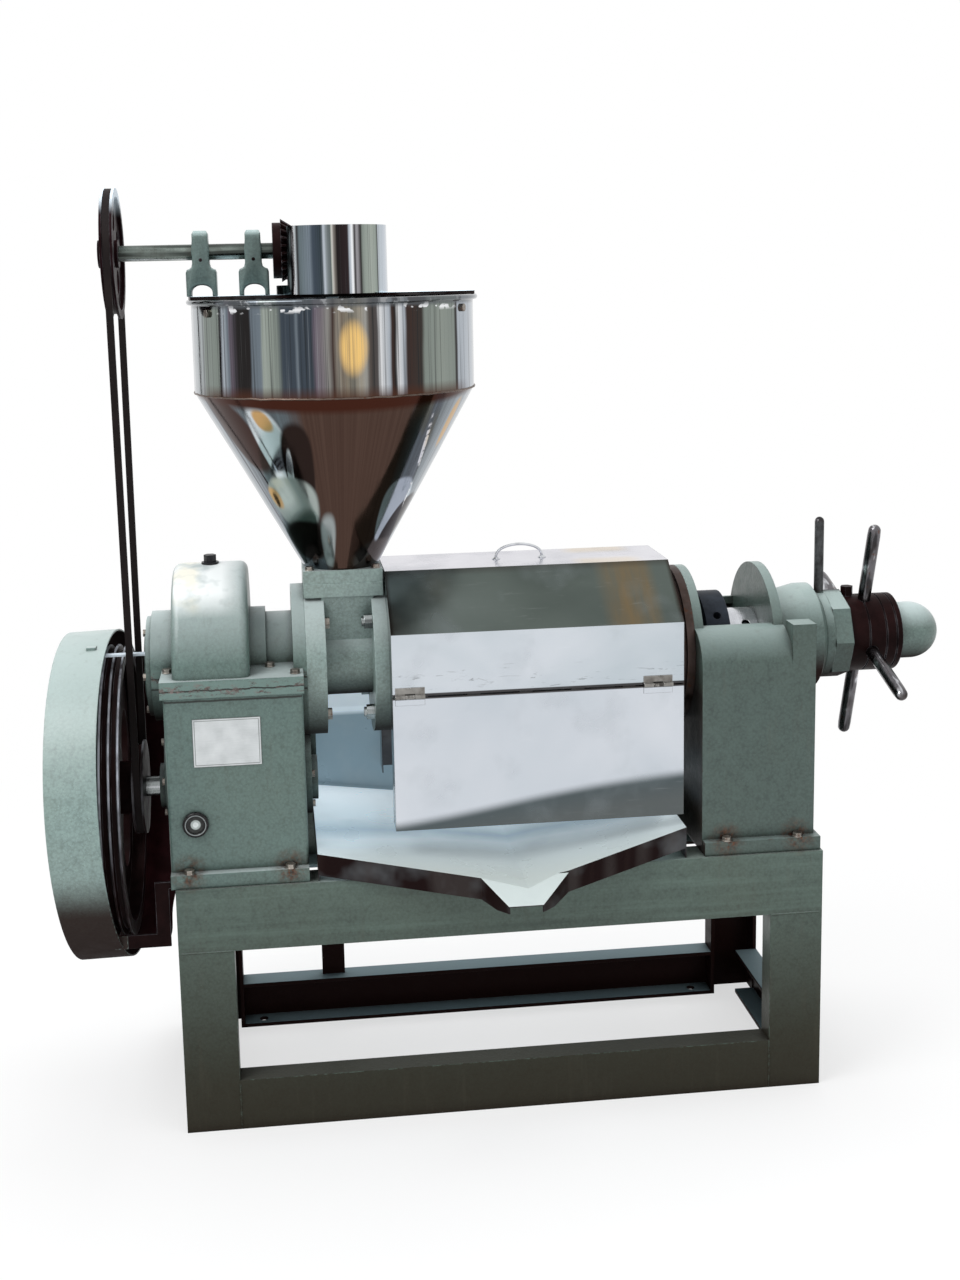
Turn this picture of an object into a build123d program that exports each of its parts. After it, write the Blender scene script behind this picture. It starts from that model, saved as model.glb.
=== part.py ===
"""Screw oil press on a welded bed: gear drive, feed hopper, press cage, oil tray and cake-end support.

X runs along the press screw towards the adjusting nut, Y to the back, Z up. The origin is on the floor,
in the middle of the four anchor holes. Lengths are millimetres, angles degrees.
"""

import os
from math import acos, atan2, cos, degrees, hypot, radians, sin, sqrt

from build123d import *

os.makedirs("parts", exist_ok=True)

# Hex heads and nuts as shares of the bolt's radius
hex_sides = 6
hex_share = 1.8
head_share = 1.6
nut_share = 1.4
washer_share = 1.9
washer_height_share = 0.3

# Clearances and one overrun for all cuts
running_gap = 0.05
seat_gap = 0.3
hole_gap = 0.5
overrun = 5.0

# Bed frame of rolled channel
frame_length = 1250.0
frame_width = 458.0
frame_height = 488.0
beam_height = 125.0
beam_flange = 65.0
post_width = 104.0
post_flange = 48.0
rail_height = 100.0
channel_web = 6.0
channel_lip = 8.0
brace_width = 49.0
brace_from_left = 277.0
anchor_inset_x = 145.0
anchor_radius = 9.0

# Press axis and the other shaft lines
axis_rise = 378.0
input_drop = 246.0
feeder_rise = 83.0

# Gears of the two-stage box
fast_module = 4.0
fast_pinion_teeth = 16
fast_gear_teeth = 36
slow_module = 5.0
slow_pinion_teeth = 16
slow_gear_teeth = 70
fast_width = 40.0
slow_width = 70.0
gear_stagger = 12.0

# Gearbox castings
box_length = 259.0
box_overhang = 8.0
box_depth = 408.0
box_wall = 14.0
base_lip = 27.0
base_lip_reach = 18.0
split_lip = 15.0
split_lip_reach = 5.0
cover_lip = 18.0
cover_bolt_edge = 6.0
cover_bolt_side = 27.0
cover_bolt_inset = 13.0
cover_bolt_corner = 21.0
cover_bolt_depth = 12.0
hump_radius = 200.0
hump_length = 144.0
hump_from_left = 18.0
hump_wall = 8.0
hump_round = 16.0
boss_radius = 108.0
left_boss_reach = 27.0
right_boss_length = 31.0
neck_radius = 97.0
flange_radius = 150.0
box_flange = 25.0
bearing_radius = 70.0
bearing_width = 30.0
side_bearing_radius = 44.0
side_bearing_width = 22.0
side_cap_thickness = 14.0
side_cap_hub = 12.0
end_cap_thickness = 10.0
box_bolt_radius = 5.0
base_bolt_inset_x = 35.0
base_bolt_inset_y = 9.6

# Small fittings of the gearbox
glass_radius = 17.0
glass_ring_radius = 24.0
glass_ring_depth = 9.0
glass_chamfer = 1.5
glass_from_left = 50.0
glass_rise = 120.0
plate_length = 126.0
plate_height = 92.0
plate_thickness = 1.2
plate_from_left = 52.0
plate_rise = 230.0
rivet_radius = 2.5
screw_radius = 4.0
cap_screw_count = 6
plate_screw_count = 8
plate_screw_edge = 9.0
seal_width = 10.0
breather_radius = 12.0
breather_height = 14.0
breather_washer = 3.5
breather_washer_share = 1.4

# Shafts
main_shaft_radius = 35.0
main_journal_radius = 32.0
input_shaft_radius = 20.0
middle_shaft_radius = 22.0
feeder_shaft_radius = 15.0
stirrer_radius = 12.0

# Drive pulley, feeder pulley, top wheel and belt
pulley_radius = 285.0
pulley_width = 72.0
pulley_rim = 26.0
pulley_web = 16.0
pulley_hub_radius = 52.0
groove_count = 4
groove_pitch = 17.0
groove_depth = 12.0
groove_half = 7.0
groove_foot_share = 0.62
pulley_gap = 4.0
small_pulley_radius = 92.0
small_pulley_width = 22.0
small_pulley_from_box = 55.0
wheel_radius = 122.0
wheel_rim = 16.0
wheel_width = 24.0
wheel_hub_radius = 26.0
wheel_hub_reach = 14.0
wheel_web = 9.0
wheel_windows = 5
wheel_window_radius = 24.0
wheel_window_circle = 66.0
belt_width = 13.0
belt_height = 8.0
belt_sink = 1.0
shaft_stub = 6.0
shaft_chamfer = 2.0

# Belt guard: a hoop that hangs slightly askew on its strap and bar, as in the photograph
guard_radius = 320.0
guard_width = 95.0
guard_sheet = 3.0
guard_yaw = 4.0
guard_tilt = 2.5
guard_offset = -21.0
guard_drop = 6.0
strap_width = 16.0
strap_thickness = 4.0
strap_y = -80.0
strap_drop = 24.0
bar_width = 26.0
bar_thickness = 5.0
bar_front = -216.0
bar_drop = 226.0
guard_tab = 18.0
guard_tab_depth = 24.0

# Feed casting
feed_flange_left = 38.0
barrel_length = 92.0
feed_flange_right = 42.0
barrel_radius = 74.0
bore_radius = 52.0
throat_size = 154.0
throat_plate = 27.0
throat_rise = 164.0
throat_neck = 100.0
throat_bore = 42.0
throat_depth = 122.0
hopper_offset = -9.0
flange_bolt_count = 4
flange_bolt_circle = 128.0
flange_bolt_radius = 6.5
plate_bolt_inset = 13.0
plate_bolt_radius = 4.5

# Worm and cage
worm_tube = 4.0
worm_radius = 50.0
worm_pitch = 62.0
flight_thickness = 12.0
cage_bar_count = 24
cage_inner_radius = 52.0
cage_bar_height = 13.0
cage_bar_fill = 0.86
cage_ring_count = 5
cage_ring_width = 26.0
cage_ring_radius = 96.0
cage_seat_gap = 16.0
end_ring_width = 42.0
end_ring_radius = 145.0
bar_seat = 10.0
outlet_radius = 80.0
end_flange_radius = 155.0
tie_radius = 10.0
tie_circle = 128.0
tie_nut_radius = 15.0
tie_nut_length = 16.0

# Hopper
rim_radius = 279.0
rim_bead = 5.0
band_radius = 270.0
cone_height = 346.0
band_height = 176.0
hopper_sheet = 2.5
cone_foot_radius = 74.0
hopper_plate = 26.0
band_bolt_drop = 24.0
band_bolt_turn = 30.0
band_bolt_head = 5.0
bridge_width = 112.0
bridge_thickness = 6.0

# Feeder drive on the hopper
gear_cover_radius = 107.0
gear_cover_height = 127.0
gear_cover_sheet = 2.0
slot_half = 66.0
bevel_module = 5.0
bevel_pinion_teeth = 22
bevel_gear_teeth = 38
bevel_face = 24.0
bevel_back = 16.0
bracket_offsets = (-247.0, -148.0)
bracket_foot_length = 57.0
bracket_foot_height = 52.0
bracket_body_length = 32.0
bracket_body_rise = 40.0
bracket_depth = 62.0
bracket_window_length = 40.0
bracket_window_height = 20.0
bracket_shoulder = 16.0
bracket_round = 15.5
stirrer_lift = 55.0
stirrer_top_drop = 31.0
stirrer_boss_radius = 26.0
paddle_radius = 6.0
paddle_drops_and_reaches = ((98.0, 190.0), (248.0, 150.0), (388.0, 90.0))
bevel_add_share = 0.8
bevel_ded_share = 1.1

# Cage cover with its door
cover_overlap = 15.0
cover_from_support = 37.0
cover_half_width = 204.0
cover_top_half = 82.0
cover_rise = 185.0
crease_rise = 86.0
hinge_drop = 33.0
door_lift = 82.0
cover_sheet = 2.0
door_gap = 3.0
hinge_insets = (33.0, 51.0)
hinge_length = 56.0
hinge_leaf = 17.0
hinge_sheet = 2.0
knuckle_radius = 4.5
knuckle_count = 3
hinge_pin_radius = 2.2
handle_span = 104.0
handle_rise = 27.0
handle_wire = 3.5
handle_offset = -4.0
handle_foot = 9.0
handle_foot_height = 3.0

# Oil tray
tray_from_box = 16.0
tray_from_support = 36.0
tray_left_rise = 53.0
tray_right_rise = 62.0
valley_offset = 29.0
valley_rise = 2.0
tray_sheet = 2.0
tray_front = -222.0
tray_apron = 42.0
spout_root_y = -290.0
spout_root_back = 84.0
spout_root_ahead = 82.0
spout_tip_y = -372.0
spout_tip_back = 44.0
spout_tip_ahead = 20.0
spout_tip_drop = 12.0
spout_apron = 12.0
back_sheet_rise = 216.0
back_sheet_fold = 28.0
back_sheet_lean = 10.0
back_sheet_y = 206.0

# Cake-end support casting
support_from_right = 235.0
support_length = 224.0
support_half_depth = 204.0
support_shoulder_drop = 16.0
support_round = 75.0
support_wall = 16.0
support_base = 27.0
support_base_inset = 1.0
support_base_length = 231.0
left_wall = 18.0
right_wall_offset = 159.0
right_wall = 19.0
arch_radius = 155.0
support_bolt_offsets = (46.0, 188.0)
lug_height = 86.0
lug_depth = 46.0

# Choke, adjusting nut and handles
choke_small_radius = 88.0
choke_mid_radius = 98.0
choke_big_radius = 107.0
choke_length = 112.0
sleeve_radius = 62.0
sleeve_bore = 46.0
sleeve_in_nut = 20.0
nut_counterbore = 40.0
choke_cone_length = 40.0
choke_cone_small = 56.0
choke_cone_big = 72.0
bush_width = 30.0
collar_offset = 41.0
collar_width = 48.0
collar_radius = 100.0
tommy_radius = 8.0
tommy_depth = 30.0
lock_width = 54.0
lock_hub = 17.0
lock_radius = 92.0
lock_sides = 8
lock_bar_radius = 9.5
lock_bar_tip = 235.0
nut_width = 104.0
nut_radius = 79.0
nut_gap = 3.0
handle_radius = 13.0
handle_tip = 248.0
handle_angle = 18.0
handle_count = 4
handle_from_left = 41.0
stub_radius = 13.0
stub_height = 24.0
cap_radius = 58.0
cap_length = 100.0
cap_wall = 6.0
shaft_end_gap = 12.0
sleeve_hole_offset = 133.0
hole_turn = 139.0
nut_groove = 3.0
nut_groove_inset = 13.0

# Places that follow from the sizes above: heights
axis_height = frame_height + axis_rise
input_height = axis_height - input_drop
base_top = frame_height + base_lip
split = axis_height
cover_face = split + cover_lip
glass_height = frame_height + glass_rise
plate_bottom = frame_height + plate_rise
guard_centre_z = input_height - guard_drop
strap_height = guard_centre_z + guard_radius - strap_drop
bar_height = guard_centre_z - bar_drop
throat_top = axis_height + throat_rise
hopper_plate_top = throat_top + hopper_plate
band_bottom = hopper_plate_top + cone_height
hopper_top = band_bottom + band_height
band_bolt_height = hopper_top - band_bolt_drop
bridge_top = hopper_top + bridge_thickness
feeder_height = bridge_top + feeder_rise
gear_cover_top = bridge_top + gear_cover_height
bracket_body_top = feeder_height + bracket_body_rise
stirrer_bottom = throat_top + stirrer_lift
stirrer_top = feeder_height - stirrer_top_drop
cover_top = axis_height + cover_rise
cover_crease = axis_height + crease_rise
hinge_height = axis_height - hinge_drop
door_bottom = frame_height + door_lift
tray_left_height = frame_height + tray_left_rise
tray_right_height = frame_height + tray_right_rise
tray_valley_height = frame_height + valley_rise
spout_tip_height = frame_height - spout_tip_drop
back_sheet_top = frame_height + back_sheet_rise
support_shoulder = axis_height - support_shoulder_drop

# Places that follow from the sizes above: along the machine
frame_left = -frame_length / 2
frame_right = frame_length / 2
half_width = frame_width / 2
box_left = frame_left - box_overhang
box_right = box_left + box_length
box_half = box_depth / 2
hump_left = box_left + hump_from_left
hump_right = hump_left + hump_length
boss_right_end = hump_right + right_boss_length
neck_end = box_right - box_wall - hole_gap
box_flange_left = neck_end - hole_gap
box_flange_right = box_flange_left + box_flange
feed_left = box_flange_right
barrel_left = feed_left + feed_flange_left
barrel_right = barrel_left + barrel_length
feed_right = barrel_right + feed_flange_right
hopper_x = (feed_left + feed_right) / 2 + hopper_offset
support_left = frame_right - support_from_right
cage_end = support_left - cage_seat_gap
cover_left = feed_right - cover_overlap
cover_right = support_left - cover_from_support
tray_left = box_right + tray_from_box
tray_right = support_left - tray_from_support
tray_valley_x = (tray_left + tray_right) / 2 + valley_offset
spout_root_left = tray_valley_x - spout_root_back
spout_root_right = tray_valley_x + spout_root_ahead
spout_tip_left = tray_valley_x - spout_tip_back
spout_tip_right = tray_valley_x + spout_tip_ahead
hinge_places = (cover_left + hinge_insets[0], cover_right - hinge_insets[1])
handle_centre = (cover_left + cover_right) / 2 + handle_offset
bracket_places = [hopper_x + offset for offset in bracket_offsets]
support_base_left = support_left + support_base_inset
support_base_right = support_base_left + support_base_length
support_bolt_places = [support_left + offset for offset in support_bolt_offsets]
right_wall_from = support_left + right_wall_offset
collar_left = support_left + collar_offset
sleeve_hole_x = support_left + sleeve_hole_offset
fast_centres = fast_module * (fast_pinion_teeth + fast_gear_teeth) / 2
slow_centres = slow_module * (slow_pinion_teeth + slow_gear_teeth) / 2
middle_angle = acos((input_drop**2 + fast_centres**2 - slow_centres**2) / (2 * input_drop * fast_centres))
middle_y = fast_centres * sin(middle_angle)
middle_height = input_height + fast_centres * cos(middle_angle)
small_pulley_x = box_left - small_pulley_from_box - small_pulley_width / 2
pulley_right = small_pulley_x - small_pulley_width / 2 - pulley_gap
pulley_left = pulley_right - pulley_width
guard_centre_x = (pulley_left + pulley_right) / 2 + guard_offset


def plane_x(x, y=0.0, z=axis_height):
    """Sketch plane facing +X, with Y to its right and Z up."""
    return Plane(origin=(x, y, z), x_dir=(0, 1, 0), z_dir=(1, 0, 0))


def plane_front(y):
    """Sketch plane facing the front, with X to its right and Z up."""
    return Plane(origin=(0, y, 0), x_dir=(1, 0, 0), z_dir=(0, -1, 0))


def disc(x0, x1, radius, y=0.0, z=axis_height, mode=Mode.ADD):
    """Round bar along X."""
    with BuildSketch(plane_x(x0, y, z)) as face:
        Circle(radius)
    extrude(face.sketch, amount=x1 - x0, mode=mode)


def ring(x0, x1, outer, inner, y=0.0, z=axis_height, mode=Mode.ADD):
    """Round tube along X."""
    with BuildSketch(plane_x(x0, y, z)) as face:
        Circle(outer)
        Circle(inner, mode=Mode.SUBTRACT)
    extrude(face.sketch, amount=x1 - x0, mode=mode)


def upright(z0, z1, radius, x, y, mode=Mode.ADD):
    """Round bar along Z."""
    with BuildSketch(Plane(origin=(x, y, z0))) as face:
        Circle(radius)
    extrude(face.sketch, amount=z1 - z0, mode=mode)


def block(x0, x1, y0, y1, z0, z1, mode=Mode.ADD):
    """Plain block between two corners."""
    with Locations(((x0 + x1) / 2, (y0 + y1) / 2, (z0 + z1) / 2)):
        Box(abs(x1 - x0), abs(y1 - y0), abs(z1 - z0), mode=mode)


def turned(points, y=0.0, z=axis_height, mode=Mode.ADD):
    """Turned piece about the X line through y, z; points are (x, radius)."""
    plane = Plane(origin=(0, y, z), x_dir=(1, 0, 0), z_dir=(0, -1, 0))
    with BuildSketch(plane) as half:
        with BuildLine():
            Polyline(*points, close=True)
        make_face()
    revolve(half.sketch, axis=Axis((0, y, z), (1, 0, 0)), mode=mode)


def bolt_down(x, y, top, bottom, radius, nut=True):
    """Hex bolt along Z with washer, its head on top, and a nut at its lower end."""
    upright(bottom - (head_share * radius if nut else 0), top, radius, x, y)
    upright(top, top + washer_height_share * radius, washer_share * radius, x, y)
    with BuildSketch(Plane(origin=(x, y, top))) as head:
        RegularPolygon(hex_share * radius, hex_sides)
    extrude(head.sketch, amount=head_share * radius)
    if nut:
        with BuildSketch(Plane(origin=(x, y, bottom))) as nut_face:
            RegularPolygon(hex_share * radius, hex_sides)
        extrude(nut_face.sketch, amount=-nut_share * radius)


def bolt_along(x0, x1, y, z, radius, nut=False):
    """Hex bolt along X: its head sits at x1, its shank runs back to x0."""
    disc(x0, x1, radius, y, z)
    with BuildSketch(plane_x(x1, y, z)) as head:
        RegularPolygon(hex_share * radius, hex_sides)
    extrude(head.sketch, amount=nut_share * radius if x1 > x0 else -nut_share * radius)
    if nut:
        with BuildSketch(plane_x(x0, y, z)) as nut_face:
            RegularPolygon(hex_share * radius, hex_sides)
        extrude(nut_face.sketch, amount=-nut_share * radius if x1 > x0 else nut_share * radius)


def tooth_outline(teeth, pitch_radius, module, phase, add_share=0.85, dedendum_share=1.15):
    """Points of a gear with straight-sided teeth and working backlash; one tooth is centred on phase."""
    root_share, mid_share, tip_share = 1.20, 0.88, 0.46
    quarter = 90.0 / teeth
    points = []
    for tooth in range(teeth):
        centre = phase + 360.0 * tooth / teeth
        radii = (pitch_radius - dedendum_share * module, pitch_radius, pitch_radius + add_share * module)
        for radius, share in zip(radii, (root_share, mid_share, tip_share)):
            angle = radians(centre - share * quarter)
            points.append((radius * cos(angle), radius * sin(angle)))
        for radius, share in zip(reversed(radii), (tip_share, mid_share, root_share)):
            angle = radians(centre + share * quarter)
            points.append((radius * cos(angle), radius * sin(angle)))
    return points


def spur_gear(x0, x1, teeth, module, phase, y, z):
    """Spur gear along X."""
    with BuildSketch(plane_x(x0, y, z)) as face:
        with BuildLine():
            Polyline(*tooth_outline(teeth, teeth * module / 2, module, phase), close=True)
        make_face()
    extrude(face.sketch, amount=x1 - x0)


def finish(part, name):
    """Labels a finished piece and writes it."""
    part.part.label = name
    export_step(part.part, f"parts/{name}.step")


# Bed frame: top beams
beam_bottom = frame_height - beam_height
beam_inner = half_width - beam_flange
base_bolt_x = (box_left + base_bolt_inset_x, box_right - base_bolt_inset_x)
base_bolt_y = box_half + base_bolt_inset_y
bed_bolt_places = [(x, side * base_bolt_y) for x in (*base_bolt_x, *support_bolt_places) for side in (-1, 1)]
with BuildPart() as frame_beams:
    for side in (-1, 1):
        outer, web = side * half_width, side * (half_width - channel_web)
        block(frame_left, frame_right, outer, web, beam_bottom, frame_height)
        for z0 in (beam_bottom, frame_height - channel_lip):
            block(frame_left, frame_right, outer, side * beam_inner, z0, z0 + channel_lip)
        end, end_web = side * frame_right, side * (frame_right - channel_web)
        block(end, end_web, -half_width, half_width, beam_bottom, frame_height)
        for z0 in (beam_bottom, frame_height - channel_lip):
            block(end, side * (frame_right - beam_flange), -beam_inner, beam_inner, z0, z0 + channel_lip)
    for x, y in bed_bolt_places:
        upright(
            frame_height - channel_lip - overrun,
            frame_height + overrun,
            box_bolt_radius + hole_gap,
            x,
            y,
            Mode.SUBTRACT,
        )
finish(frame_beams, "frame_beams")

# Bed frame: four legs
with BuildPart() as frame_legs:
    for end in (-1, 1):
        for side in (-1, 1):
            outer, web = side * half_width, side * (half_width - channel_web)
            inner = side * (half_width - post_flange)
            block(end * frame_right, end * (frame_right - post_width), outer, web, 0, beam_bottom)
            for x0 in (frame_right, frame_right - post_width + channel_lip):
                block(end * x0, end * (x0 - channel_lip), outer, inner, 0, beam_bottom)
finish(frame_legs, "frame_legs")

# Bed frame: low rails between the legs, with the anchor holes, and the rear brace
anchor_x = frame_right - anchor_inset_x
anchor_y = half_width - post_flange / 2 - channel_web / 2
brace_left = frame_left + brace_from_left
with BuildPart() as frame_rails:
    for side in (-1, 1):
        outer, web = side * half_width, side * (half_width - channel_web)
        inner = side * (half_width - post_flange)
        long_end = frame_right - post_width
        block(-long_end, long_end, outer, web, 0, rail_height)
        for z0 in (0, rail_height - channel_lip):
            block(-long_end, long_end, outer, inner, z0, z0 + channel_lip)
        for end in (-1, 1):
            upright(
                -overrun, channel_lip + overrun, anchor_radius, end * anchor_x, side * anchor_y, Mode.SUBTRACT
            )
    for end in (-1, 1):
        short_end = half_width - post_flange
        block(end * frame_right, end * (frame_right - channel_web), -short_end, short_end, 0, rail_height)
        for z0 in (0, rail_height - channel_lip):
            flange_end = end * (frame_right - post_flange)
            block(end * frame_right, flange_end, -short_end, short_end, z0, z0 + channel_lip)
    brace_front = half_width - post_flange / 2
    block(
        brace_left, brace_left + brace_width, brace_front, brace_front + channel_lip, rail_height, beam_bottom
    )
finish(frame_rails, "frame_rails")

cover_bolt_spots = (
    (box_left + cover_bolt_edge, boss_radius + cover_bolt_side),
    (boss_right_end + cover_bolt_edge, boss_radius + cover_bolt_side / 2),
    (box_right - cover_bolt_inset, box_half - cover_bolt_corner),
)
cover_bolt_places = [(x, side * y) for x, y in cover_bolt_spots for side in (-1, 1)]
turns = [360.0 * (n + 0.5) / flange_bolt_count for n in range(flange_bolt_count)]
flange_bolt_spots = [
    (flange_bolt_circle * cos(radians(t)), axis_height + flange_bolt_circle * sin(radians(t))) for t in turns
]

# Gearbox housing: open-topped box with base lip, split lip, lower boss halves and the flange's lower half
input_hole = side_bearing_radius + running_gap
side_lines = ((0.0, input_height), (middle_y, middle_height))
with BuildPart() as gearbox_housing:
    block(box_left, box_right, -box_half, box_half, frame_height, split)
    fillet(gearbox_housing.edges().filter_by(Axis.Z), radius=box_wall / 2)
    block(box_left, box_right, -box_half - base_lip_reach, box_half + base_lip_reach, frame_height, base_top)
    block(
        box_left - split_lip_reach,
        box_right + split_lip_reach / 2,
        -box_half - split_lip_reach,
        box_half + split_lip_reach,
        split - split_lip,
        split,
    )
    disc(box_left - left_boss_reach, box_left + box_wall, boss_radius)
    disc(box_right - box_wall, box_flange_right, flange_radius)
    block(
        box_left + box_wall,
        box_right - box_wall,
        -box_half + box_wall,
        box_half - box_wall,
        base_top - box_wall,
        split + overrun,
        Mode.SUBTRACT,
    )
    block(
        box_left - left_boss_reach - overrun,
        box_flange_right + overrun,
        -box_half - split_lip_reach - overrun,
        box_half + split_lip_reach + overrun,
        split,
        split + flange_radius + overrun,
        Mode.SUBTRACT,
    )
    disc(
        box_left - left_boss_reach - overrun,
        box_left + box_wall + overrun,
        bearing_radius + running_gap,
        mode=Mode.SUBTRACT,
    )
    disc(
        box_right - box_wall - overrun,
        box_flange_right + overrun,
        bearing_radius + running_gap,
        mode=Mode.SUBTRACT,
    )
    for y, z in side_lines:
        disc(box_left - overrun, box_right + overrun, input_hole, y, z, Mode.SUBTRACT)
    for x, y in [(x, side * base_bolt_y) for x in base_bolt_x for side in (-1, 1)]:
        upright(frame_height - overrun, base_top + overrun, box_bolt_radius + hole_gap, x, y, Mode.SUBTRACT)
    for x, y in cover_bolt_places:
        hole_bottom = split - cover_bolt_depth - hole_gap
        upright(hole_bottom, split + overrun, box_bolt_radius + hole_gap, x, y, Mode.SUBTRACT)
    for y, z in flange_bolt_spots:
        disc(
            box_flange_left + overrun,
            box_flange_right + overrun,
            flange_bolt_radius + hole_gap,
            y,
            z,
            Mode.SUBTRACT,
        )
finish(gearbox_housing, "gearbox_housing")

# Gearbox cover: lip plate, hump over the big gear, upper boss halves, neck and the flange's upper half
with BuildPart() as gearbox_cover:
    block(
        box_left - split_lip_reach,
        box_right + split_lip_reach / 2,
        -box_half - split_lip_reach,
        box_half + split_lip_reach,
        split,
        cover_face,
    )
    disc(hump_left, hump_right, hump_radius)
    fillet(
        gearbox_cover.edges().filter_by(GeomType.CIRCLE).filter_by(lambda e: e.radius > hump_radius - seat_gap),
        radius=hump_round,
    )
    disc(box_left - left_boss_reach, hump_left + hump_wall, boss_radius)
    disc(hump_right - hump_wall, boss_right_end, boss_radius)
    disc(boss_right_end, box_flange_left + overrun, neck_radius)
    disc(box_flange_left, box_flange_right, flange_radius)
    cavity = hump_radius - hump_wall
    disc(hump_left + hump_wall, hump_right - hump_wall, cavity, mode=Mode.SUBTRACT)
    block(
        box_left - left_boss_reach - overrun,
        box_flange_right + overrun,
        -hump_radius - overrun,
        hump_radius + overrun,
        split - hump_radius - overrun,
        split,
        Mode.SUBTRACT,
    )
    disc(
        box_left - left_boss_reach - overrun,
        box_flange_right + overrun,
        bearing_radius + running_gap,
        mode=Mode.SUBTRACT,
    )
    upright(
        split + cavity - overrun,
        split + hump_radius + overrun,
        breather_radius / 2 + hole_gap,
        (hump_left + hump_right) / 2,
        0,
        Mode.SUBTRACT,
    )
    for y, z in flange_bolt_spots:
        disc(
            box_flange_left + overrun,
            box_flange_right + overrun,
            flange_bolt_radius + hole_gap,
            y,
            z,
            Mode.SUBTRACT,
        )
    for x, y in cover_bolt_places:
        upright(split - overrun, cover_face + overrun, box_bolt_radius + hole_gap, x, y, Mode.SUBTRACT)
finish(gearbox_cover, "gearbox_cover")

# Fasteners of the two bases and of the gearbox cover
with BuildPart() as bed_bolts:
    for x, y in bed_bolt_places:
        bolt_down(x, y, base_top, frame_height - channel_lip, box_bolt_radius)
finish(bed_bolts, "bed_bolts")

with BuildPart() as cover_bolts:
    for x, y in cover_bolt_places:
        bolt_down(x, y, cover_face, split - cover_bolt_depth, box_bolt_radius, nut=False)
finish(cover_bolts, "cover_bolts")

# Round caps: closed one on the main bearing, two plates on the gearbox sides over both lower shafts
cap_outer = box_left - left_boss_reach - end_cap_thickness
cap_screw_circle = boss_radius - 2 * end_cap_thickness
cap_screw_turns = [radians(360.0 * n / cap_screw_count) for n in range(cap_screw_count)]
cap_screw_spots = [
    (cap_screw_circle * cos(turn), axis_height + cap_screw_circle * sin(turn)) for turn in cap_screw_turns
]
plate_y, plate_z = middle_y / 2, (input_height + middle_height) / 2
side_plate_radius = fast_centres / 2 + side_bearing_radius + side_cap_thickness
plate_screw_circle = side_plate_radius - plate_screw_edge
plate_screw_turns = [radians(360.0 * n / plate_screw_count) for n in range(plate_screw_count)]
plate_screw_spots = [
    (
        plate_y + plate_screw_circle * cos(turn), plate_z + plate_screw_circle * sin(turn)
    ) for turn in plate_screw_turns
]
clear_of_flange = flange_radius + 2 * hex_share * screw_radius
clear_of_tray = tray_left_height + 2 * hex_share * screw_radius
right_screw_spots = [
    (y, z)
    for y, z in plate_screw_spots
    if hypot(y, z - axis_height) > clear_of_flange and z > clear_of_tray
]
screw_hole = screw_radius + hole_gap
with BuildPart() as main_bearing_cap:
    disc(cap_outer, box_left - left_boss_reach, boss_radius - end_cap_thickness)
    disc(cap_outer - end_cap_thickness / 2, cap_outer, bearing_radius)
    for y, z in cap_screw_spots:
        disc(cap_outer, box_left - left_boss_reach, screw_hole, y, z, Mode.SUBTRACT)
finish(main_bearing_cap, "main_bearing_cap")

with BuildPart() as side_plates:
    disc(box_left - side_cap_thickness, box_left, side_plate_radius, plate_y, plate_z)
    disc(box_right, box_right + side_cap_thickness, side_plate_radius, plate_y, plate_z)
    left_hub = box_left - side_cap_thickness - side_cap_hub
    right_hub = box_right + side_cap_thickness + side_cap_hub
    disc(left_hub, box_left, side_bearing_radius, 0, input_height)
    disc(box_right, right_hub, side_bearing_radius, 0, input_height)
    disc(box_right, right_hub, side_bearing_radius, middle_y, middle_height)
    disc(
        left_hub - overrun, box_left + overrun, input_shaft_radius + hole_gap, 0, input_height, Mode.SUBTRACT
    )
    disc(box_right - overrun, right_hub + overrun, flange_radius + hole_gap, mode=Mode.SUBTRACT)
    for y, z in plate_screw_spots:
        disc(box_left - side_cap_thickness, box_left, screw_hole, y, z, Mode.SUBTRACT)
    for y, z in right_screw_spots:
        disc(box_right, box_right + side_cap_thickness, screw_hole, y, z, Mode.SUBTRACT)
finish(side_plates, "side_plates")

# Screws of the caps
with BuildPart() as cap_screws:
    for y, z in cap_screw_spots:
        bolt_along(box_left - left_boss_reach, cap_outer, y, z, screw_radius)
    for y, z in plate_screw_spots:
        bolt_along(box_left, box_left - side_cap_thickness, y, z, screw_radius)
    for y, z in right_screw_spots:
        bolt_along(box_right, box_right + side_cap_thickness, y, z, screw_radius)
finish(cap_screws, "cap_screws")

# Sight glass, breather and bare nameplate
glass_x = box_left + glass_from_left
front_face = -box_half
glass_plane = Plane(origin=(glass_x, front_face, glass_height), x_dir=(1, 0, 0), z_dir=(0, -1, 0))
with BuildPart() as sight_glass_ring:
    with BuildSketch(glass_plane):
        Circle(glass_ring_radius)
        Circle(glass_radius, mode=Mode.SUBTRACT)
    extrude(amount=glass_ring_depth)
    chamfer(sight_glass_ring.faces().sort_by(Axis.Y)[0].edges(), length=glass_chamfer)
finish(sight_glass_ring, "sight_glass_ring")

with BuildPart() as sight_glass_lens:
    with BuildSketch(glass_plane):
        Circle(glass_radius - running_gap)
    extrude(amount=glass_ring_depth / 2)
finish(sight_glass_lens, "sight_glass_lens")

breather_x = (hump_left + hump_right) / 2
hump_top = split + hump_radius
with BuildPart() as breather_plug:
    upright(hump_top - hump_wall, hump_top, breather_radius / 2, breather_x, 0)
    upright(hump_top, hump_top + breather_washer, breather_washer_share * breather_radius, breather_x, 0)
    with BuildSketch(Plane(origin=(breather_x, 0, hump_top + breather_washer))):
        RegularPolygon(breather_radius, hex_sides)
    extrude(amount=breather_height)
finish(breather_plug, "breather_plug")

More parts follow.
